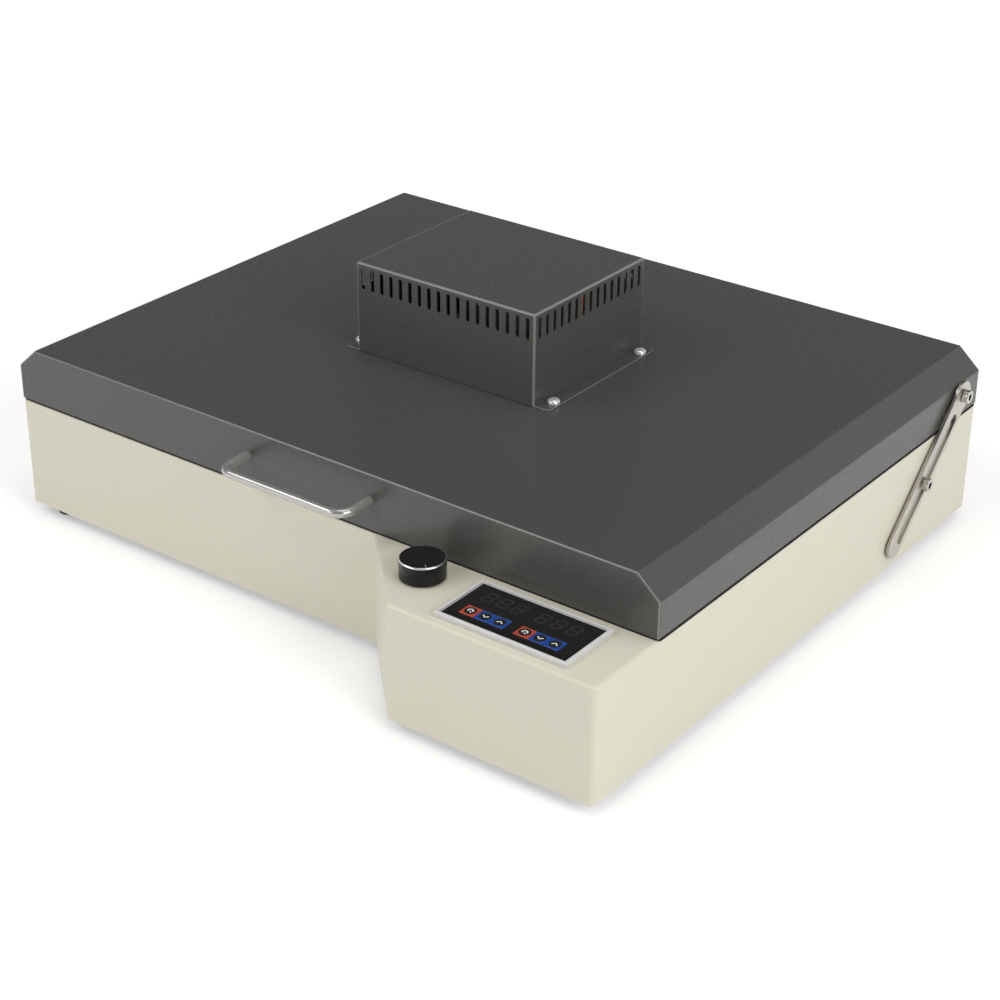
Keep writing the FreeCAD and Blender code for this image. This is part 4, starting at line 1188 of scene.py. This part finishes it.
@dataclass
class LidStays:
    """Slotted stays with their socket-head screws; sizes in millimetres."""

    shop: Workshop
    head_radius: float = 4.7
    head_height: float = 4.6
    head_edge: float = 0.7
    edge_round: Point = (0.2, 0.3)
    under_edge: float = 0.3
    socket_radius: float = 2.3
    socket_edge: float = 0.25
    socket_depth: float = 2.2
    drill_point: float = 0.6
    shank_radius: float = 1.7
    collar_radius: float = 4.2
    collar: float = 1.2
    arm_outside: float = 4.3
    depth: float = 6.0
    facets: int = 40
    socket_slack: float = 0.05
    seat_slack: float = 0.1

    def screw(self) -> Work:
        """Shoulder screw with a round socket head, along Z from the wall."""
        shank, head, socket, seat = self.shank_radius, self.head_radius, self.socket_radius, self.arm_outside
        top = seat + self.head_height
        out, down = (share * self.head_edge for share in self.edge_round)
        return lathe([
            (0, -self.depth), (shank, -self.depth), (shank, 0), (self.collar_radius, 0),
            (self.collar_radius, self.collar), (shank, self.collar), (shank, seat),
            (head - self.under_edge, seat), (head, seat + self.under_edge), (head, top - self.head_edge),
            (head - out, top - down), (head - self.head_edge, top), (socket + self.socket_edge, top),
            (socket, top - self.socket_edge), (socket, top - self.socket_depth),
            (0, top - self.socket_depth - self.drill_point),
        ], self.facets)

    def build(self) -> None:
        """Makes both arms."""
        self.shop.trim_all(Edge.WIDE, "stay_arm_right", "stay_arm_left")

    def dress(self) -> None:
        """Sets the pivot screws on the lid and the studs on the base, with painted shade in black inside
        their sockets.
        """
        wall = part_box("lid_shell")[1].x
        for node, body in (("stay_pivot_screws", "lid"), ("stay_studs", "base")):
            low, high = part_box(node)
            y, z = (low.y + high.y) / 2, (low.z + high.z) / 2
            for side, hand in ((1, "right"), (-1, "left")):
                turn = Euler((0, side * math.pi / 2, 0))
                piece = self.shop.set_on(f"{node}_{hand}", self.screw(), [Vector((side * wall, y, z))], turn,
                                         "nickel_screw", body, node, finish="stay_bolt")
                # The socket of each screw head is painted black as painted shade in the recess
                self.shop.palette.coat(piece.data, "black_plastic")
                for face in piece.data.polygons:
                    spread = math.hypot(face.center.y - y, face.center.z - z) / MM
                    out = (abs(face.center.x) - wall) / MM - self.arm_outside
                    inside = spread < self.socket_radius + self.socket_slack
                    face.material_index = int(inside and out > self.seat_slack)


@dataclass
class RearHinges:
    """Hinges, power entry and bushes at the rear; sizes in millimetres."""

    shop: Workshop
    screw_head: float = 3.0
    screw_height: float = 1.6
    recess_width: float = 0.8
    screw_from_edge: float = 7.0
    screw_share: float = 0.3

    def build(self) -> None:
        """Makes the hinges."""
        self.shop.trim_all(Edge.PLAIN, "hinge_base_leaves", "hinge_lid_leaves", "hinge_pins")
        self.leaf_screws("hinge_base_leaves", 1)
        self.leaf_screws("hinge_lid_leaves", -1)

    def leaf_screws(self, node: str, way: int) -> None:
        """Sets two screw heads on each leaf of a node.

        Args:
            node: Node of both leaves.
            way: 1 where the plates hang below the pin, -1 where they stand above it.
        """
        points = [vert.co for vert in frame["nodes"][node].data.vertices]
        edge = min(way * point.z for point in points) * way
        spots = []
        for side in (-1, 1):
            plate = [point for point in points if point.x * side > 0 and abs(point.z - edge) < MM]
            left, right = min(point.x for point in plate), max(point.x for point in plate)
            face = max(point.y for point in plate)
            height = edge + way * self.screw_from_edge * MM
            for share in (-self.screw_share, self.screw_share):
                spots.append(Vector(((left + right) / 2 + share * (right - left), face, height)))
        head = pan_head(self.screw_head, self.screw_height, self.recess_width)
        turn = Euler((-math.pi / 2, 0, 0))
        self.shop.set_on(node + "_screws", head, spots, turn, "zinc_screw", self.shop.body_of[node])

    def dress(self) -> None:
        """Finishes the power entry and the bush."""
        moulded = ("power_inlet", "switch_frame", "switch_rocker")
        self.shop.trim_all(Edge.MOULDED, *moulded, steps=self.shop.round_steps)
        self.shop.trim_all(Edge.FINE, "inlet_screws", "inlet_pins", "base_loom_bush")


@dataclass
class FanUnit:
    """Fan motor, wheel, terminals and slack supply leads under the cover; sizes in millimetres."""

    shop: Workshop
    lead_radius: float = 1.2
    red_route: tuple[Place, ...] = (
        (72.4, 20.0, 129.8), (72.4, 20.0, 150), (72.4, 20.0, 182), (72.4, 21.5, 192), (72.4, 26.5, 192),
        (72.4, 28.0, 182), (72.4, 28.0, 150), (66, 28.3, 139), (51, 36.4, 139))
    white_route: tuple[Place, ...] = (
        (70, 71.5, 129.8), (70, 71.5, 150), (70, 71.5, 178), (70, 73, 188), (70, 80, 184.5), (70, 87.9, 182),
        (70, 87.9, 172), (70, 87.9, 150), (68, 70, 139), (51, 18.4, 139))

    def build(self) -> None:
        """Makes the motor and the wheel."""
        self.shop.trim_all(Edge.PLAIN, "fan_motor", "fan_impeller", "motor_bracket")

    def dress(self) -> None:
        """Finishes the shaft, the terminals and the leads."""
        self.shop.trim_all(Edge.FINE, "fan_shaft", "terminal_shelf", "terminal_block", "motor_leads")
        for name, route, slot in (("red_lead", self.red_route, "red_lead"),
                                  ("white_lead", self.white_route, "white_plastic")):
            piece = tube(name, [mm(*point) for point in route], self.lead_radius, Course.SLACK)
            show(piece, self.shop.palette.of(name), "lid", slot)


class KeyMark(Enum):
    """Mark on a key."""

    LOOP = "mode"
    DOWN = "down"
    UP = "up"


@dataclass
class PanelMeter:
    """Panel meter with its dark face, unlit digits and keys; sizes in millimetres."""

    shop: Workshop
    digit_width: float = 6.2
    digit_height: float = 10.0
    digit_pitch: float = 11.0
    digit_slant: float = 0.12
    group_share: float = 0.218
    segment: float = 1.3
    tip_share: float = 0.3
    print_height: float = 0.05
    bezel_edge: float = 0.5
    bezel_slope: float = 0.9
    bezel_steps: int = 2
    disc_radius: float = 3.9
    disc_facets: int = 40
    mark_stroke: float = 0.9
    mark_size: float = 1.95
    loop_share: float = 0.85
    loop_sweep: Point = (-50.0, 215.0)
    loop_steps: int = 18
    arrow_share: float = 0.62
    arrow: tuple[Point, ...] = ((-1.5, 0.3), (0.1, -1.0), (0.9, 1.0))
    chevron: Point = (0.45, 0.5)
    keys: tuple[str, ...] = ("temperature_mode_key", "temperature_down_key", "temperature_up_key",
                             "time_mode_key", "time_down_key", "time_up_key")

    def bar(self, start: Point, end: Point) -> Work:
        """One pointed segment of a digit, leaning with it.

        Args:
            start: First tip.
            end: Second tip.

        Returns:
            The thin printed shape.
        """
        along = (Vector(end) - Vector(start)).normalized()
        across = Vector((-along.y, along.x)) * (self.segment / 2)
        head = along * (self.segment / 2)
        tip, tail = Vector(start) + head * self.tip_share, Vector(end) - head * self.tip_share
        near, far = tip + head, tail - head
        plan = [tip, near - across, far - across, tail, far + across, near + across]
        leaning = [(point.x + self.digit_slant * point.y, point.y) for point in plan]
        return flat_plate(leaning, 0, self.print_height)

    def digit(self) -> Work:
        """All seven segments of one unlit digit, centred."""
        x, y = self.digit_width / 2, self.digit_height / 2
        ends = [((-x, height), (x, height)) for height in (y, 0, -y)]
        ends += [((side, low), (side, low + y)) for low in (0, -y) for side in (-x, x)]
        return joined(self.bar(start, end) for start, end in ends)

    def stroke(self, route: Sequence[Point], low: float) -> Work:
        """Printed line of even width along a route.

        Args:
            route: Its points on the plan.
            low: Height of the face below it.

        Returns:
            The thin printed shape.
        """
        points = [Vector(point) for point in route]
        left, right = [], []
        for index, point in enumerate(points):
            before = points[max(index - 1, 0)]
            after = points[min(index + 1, len(points) - 1)]
            along = (after - before).normalized()
            across = Vector((-along.y, along.x)) * (self.mark_stroke / 2)
            left.append(point + across)
            right.append(point - across)
        return flat_plate([tuple(point) for point in right + left[::-1]], low, low + self.print_height)

    def mark(self, kind: KeyMark, low: float) -> Work:
        """White mark of a key, centred.

        Args:
            kind: Which mark.
            low: Height of the face below it.

        Returns:
            The thin printed shape.
        """
        size = self.mark_size
        if kind is KeyMark.LOOP:
            ring = self.stroke(arc((0, 0), size * self.loop_share, *self.loop_sweep, self.loop_steps), low)
            tip = size * self.arrow_share
            head = flat_plate([(tip + x, y - tip) for x, y in self.arrow], low, low + self.print_height)
            return joined([ring, head])
        foot, peak = ((-1 if kind is KeyMark.DOWN else 1) * size * share for share in self.chevron)
        return self.stroke([(-size, -foot), (0, peak), (size, -foot)], low)

    def bezel(self) -> None:
        """Moulds the white frame, with painted shade in grey on its sloped inner edge."""
        low, high = node_box("meter_bezel")
        centre, half = (low + high) / 2, (high - low) / 2
        border = node_box("display_window")[0].x - low.x
        slope = (border - self.bezel_slope, high.z)
        steps = [(0, low.z), (0, high.z - self.bezel_edge), (self.bezel_edge, high.z), slope,
                 (border, high.z - self.bezel_slope), (border, low.z)]
        work = bmesh.new()
        loops = []
        for inset, height in steps:
            x, y = half.x - inset, half.y - inset
            corners = [(-x, -y), (x, -y), (x, y), (-x, y)]
            loops.append([work.verts.new(mm(centre.x + dx, centre.y + dy, height)) for dx, dy in corners])
        for step, loop, after in zip(steps, loops, loops[1:] + loops[:1]):
            for corner in range(4):
                follow = (corner + 1) % 4
                face = work.faces.new((loop[corner], loop[follow], after[follow], after[corner]))
                # The sloped inner faces take the grey of the painted shade
                face.material_index = int(step is slope)
        bmesh.ops.recalc_face_normals(work, faces=work.faces)
        round_off(work, work.edges[:], self.bezel_edge / 3, self.bezel_steps)
        piece = drafted("meter_frame", work)
        self.shop.palette.coat(piece.data, "white_plastic", "grey_bevel")
        self.shop.stand_in(smoothed(piece), "meter_bezel")

    def build(self) -> None:
        """Makes the frame, the face and the keys."""
        self.bezel()
        self.shop.trim(Edge.HAIR, "display_window")
        self.shop.trim_all(Edge.PLAIN, *self.keys, steps=self.shop.round_steps)

    def print_keys(self) -> None:
        """Prints the dark disc and the white mark of each key."""
        thick, radius = self.print_height, self.disc_radius
        for node in self.keys:
            low, high = node_box(node)
            kind = KeyMark(node.split("_")[1])
            shift = Matrix.Translation(mm((low.x + high.x) / 2, (low.y + high.y) / 2, high.z))
            disc = lathe([(0, 0), (radius, 0), (radius, thick), (0, thick)], self.disc_facets)
            for name, work, finish in (("disc", disc, "dark_print"),
                                       ("mark", self.mark(kind, thick), "white_print")):
                bmesh.ops.transform(work, matrix=shift, verts=work.verts)
                piece = smoothed(drafted(f"{node}_{name}", work))
                show(piece, self.shop.palette.of(finish), node, self.shop.slot_of[node])

    def dress(self) -> None:
        """Prints the face and finishes the inside."""
        low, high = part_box("led_displays")
        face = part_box("display_window")[1].z
        inset = (high.x - low.x) * self.group_share
        spots = [Vector((centre + step * self.digit_pitch * MM, (low.y + high.y) / 2, face))
                 for centre in (low.x + inset, high.x - inset) for step in (-1, 0, 1)]
        self.shop.set_on("unlit_digits", self.digit(), spots, Euler(), "display_module", "base",
                         finish="unlit_segment")
        self.print_keys()
        self.shop.trim_all(Edge.FINE, "meter_case", "controller_board", "led_displays", "meter_clamps")


@dataclass
class ControlKnob:
    """Turned knob with its bright rim and pointer; sizes in millimetres."""

    shop: Workshop
    radius: float = 14.8
    height: float = 13.0
    foot_edge: float = 0.4
    rim: float = 0.8
    rim_round: Point = (0.45, 0.28)
    rim_band: Point = (0.1, 0.9)
    face_step: Point = (0.3, 0.15)
    face_dish: float = 0.25
    recess_radius: float = 10.0
    recess: float = 5.0
    pointer_angle: float = -42.0
    pointer_length: float = 5.0
    pointer_width: float = 0.8
    pointer_inset: float = 0.4
    pointer_sunk: float = 0.3
    pointer_proud: float = 0.02
    facets: int = 96
    smooth_angle: float = 40.0

    def __post_init__(self) -> None:
        """Reads the middle of the knob's foot from the frame."""
        self.foot = Vector((KNOB_CENTRE.x, KNOB_CENTRE.y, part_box("knob")[0].z))

    def build(self) -> None:
        """Turns the knob, with a finish of its own on the rim."""
        top, wide, rim, edge = self.height, self.radius, self.rim, self.foot_edge
        work = lathe([
            (0, self.recess), (self.recess_radius, self.recess), (self.recess_radius, 0), (wide - edge, 0),
            (wide, edge), (wide, top - rim), (wide - rim * self.rim_round[0], top - rim * self.rim_round[1]),
            (wide - rim, top), (wide - rim - self.face_step[0], top - self.face_step[1]),
            (0, top - self.face_dish),
        ], self.facets)
        bmesh.ops.translate(work, verts=work.verts, vec=self.foot)
        piece = drafted("control_knob", work)
        self.shop.palette.coat(piece.data, "knob_black", "bright_rim")
        for face in piece.data.polygons:
            middle = (face.center - self.foot) / MM
            spread = math.hypot(middle.x, middle.y)
            if middle.z > top - rim * self.rim_band[1] and spread > wide - rim - self.rim_band[0]:
                face.material_index = 1
        self.shop.stand_in(smoothed(piece, self.smooth_angle), "knob")

    def dress(self) -> None:
        """Lays the pointer in the top and finishes the shaft below."""
        outer = self.radius - self.rim * self.pointer_inset
        inner, end, half = outer - self.pointer_length, outer - self.rim, self.pointer_width / 2
        work = flat_plate([(inner, -half), (end, -half), (end, half), (inner, half)],
                          self.height - self.pointer_sunk, self.height + self.pointer_proud)
        turn = Matrix.Translation(self.foot) @ Matrix.Rotation(math.radians(self.pointer_angle), 4, "Z")
        bmesh.ops.transform(work, matrix=turn, verts=work.verts)
        piece = smoothed(drafted("knob_pointer", work))
        show(piece, self.shop.palette.of("bright_rim"), "knob", "knob_black")
        self.shop.trim_all(Edge.HAIR, "knob_grub_screw", "pot_shaft", "potentiometer", "pot_nut")


# Studio


@dataclass
class Softbox:
    """Square area lamp; sizes in metres, power in watts."""

    name: str
    place: Place
    size: float
    power: float
    target: Vector = field(default_factory=lambda: mm(0, 0, 90))

    def build(self) -> None:
        """Hangs the lamp."""
        lamp = bpy.data.lights.new(self.name, "AREA")
        lamp.shape = "SQUARE"
        lamp.size = self.size
        lamp.energy = self.power
        stand = new_object(self.name, lamp)
        stand.location = self.place
        stand.rotation_euler = (self.target - Vector(self.place)).to_track_quat("-Z", "Y").to_euler()


@dataclass
class Studio:
    """Pale floor, white surround, soft lamps and camera; in metres, with lens and sensor in millimetres."""

    floor_half: float = 12.0
    floor_colour: Colour = (0.92, 0.92, 0.92)
    floor_lift: Point = (0.2, 0.7)
    floor_reach: Point = (0.45, 1.6)
    ambient: float = 0.42
    overhead: float = 0.08
    dome_span: Point = (0.03, 0.3)
    lens: float = 79.741
    sensor: float = 36.0
    clip_start: float = 0.05
    camera_place: Vector = field(default_factory=lambda: mm(848.894, -1104.042, 759.009))
    camera_turn: Place = (62.0888, -0.3842, 37.0577)
    lamps: tuple[Softbox, ...] = field(default_factory=lambda: (
        Softbox("right_softbox", (2.4, -0.5, 1.3), 1.6, 32.0),
        Softbox("front_softbox", (-0.9, -2.4, 1.4), 1.6, 16.0),
        Softbox("rear_softbox", (1.1, 1.85, 1.45), 1.3, 3.0),
        Softbox("fold_softbox", (-1.35, -1.2, 1.9), 0.7, 10.0),
        Softbox("top_softbox", (0.3, 0.1, 2.6), 1.6, 14.0),
    ))

    def surround(self) -> None:
        """White to the camera and low in reflections, darker overhead, and a plain grey light otherwise."""
        world = bpy.data.worlds.new("surround")
        world.use_nodes = True
        tree = NodeTree(world.node_tree)
        rays = tree.add("ShaderNodeLightPath").outputs
        way = tree.add("ShaderNodeTexCoord").outputs["Generated"]
        height = tree.add("ShaderNodeSeparateXYZ", {0: way}).outputs["Z"]
        low, high = self.dome_span
        fall = {"From Min": low, "From Max": high, "To Min": 1.0, "To Max": self.overhead}
        dome = tree.add("ShaderNodeMapRange", {"Value": height}, fall).outputs["Result"]
        mix = {"B": dome, "Factor": rays["Is Glossy Ray"]}
        mirrored = tree.add("ShaderNodeMix", mix, {"A": self.ambient}).outputs["Result"]
        direct = {0: rays["Is Camera Ray"], 1: rays["Is Transmission Ray"]}
        seen = tree.add("ShaderNodeMath", direct, operation="MAXIMUM").outputs[0]
        strength = tree.add("ShaderNodeMix", {"A": mirrored, "Factor": seen}, {"B": 1.0}).outputs["Result"]
        backdrop = world.node_tree.nodes["Background"]
        backdrop.inputs["Color"].default_value = (1, 1, 1, 1)
        world.node_tree.links.new(strength, backdrop.inputs["Strength"])
        bpy.context.scene.world = world

    def floor(self) -> None:
        """Pale floor that keeps the shadow."""
        half = self.floor_half
        corners = [(-half, -half, 0), (half, -half, 0), (half, half, 0), (-half, half, 0)]
        mesh = bpy.data.meshes.new("floor")
        mesh.from_pydata(corners, [], [(0, 1, 2, 3)])
        finish = FinishTree("pale_floor")
        finish.fix({"Base Color": (*self.floor_colour, 1), "Roughness": 0.9, "Specular IOR Level": 0.1,
                    "Emission Color": (1, 1, 1, 1)})
        rays = finish.add("ShaderNodeLightPath").outputs
        spot = {0: finish.coordinates}
        away = finish.add("ShaderNodeVectorMath", spot, operation="LENGTH").outputs["Value"]
        (near, far), (low, high) = self.floor_reach, self.floor_lift
        rise = {"From Min": near, "From Max": far, "To Min": low, "To Max": high}
        fade = finish.add("ShaderNodeMapRange", {"Value": away}, rise).outputs["Result"]
        direct = {0: rays["Is Camera Ray"], 1: rays["Is Glossy Ray"]}
        seen = finish.add("ShaderNodeMath", direct, operation="MAXIMUM").outputs[0]
        lift = finish.add("ShaderNodeMath", {0: seen, 1: fade}, operation="MULTIPLY").outputs[0]
        finish.feed(lift, "Emission Strength")
        mesh.materials.append(finish.material)
        new_object("floor", mesh)

    def build(self) -> None:
        """Sets up the surround, the floor and the lamps."""
        self.surround()
        self.floor()
        for lamp in self.lamps:
            lamp.build()
        bpy.context.scene.view_settings.view_transform = "Standard"

    def dress(self) -> None:
        """Sets the camera at the product view."""
        eye = bpy.data.cameras.new("product_view")
        eye.lens = self.lens
        eye.sensor_width = self.sensor
        eye.clip_start = self.clip_start
        camera = new_object("product_view", eye)
        camera.location = self.camera_place
        camera.rotation_euler = Euler([math.radians(angle) for angle in self.camera_turn], "XYZ")
        bpy.context.scene.camera = camera


def main() -> None:
    """Builds and dresses every sub-assembly in order."""
    logging.basicConfig(level=logging.INFO, format="%(name)s: %(message)s")
    shop = Workshop()
    for assembly in (
        Studio(), BaseHousing(shop), OvenChamber(shop), LidShell(shop), VentCover(shop), LidStays(shop),
        RearHinges(shop), FanUnit(shop), PanelMeter(shop), ControlKnob(shop),
    ):
        assembly.build()
        assembly.dress()
        LOG.info("%s done", type(assembly).__name__)


if __name__ == "__main__":
    main()
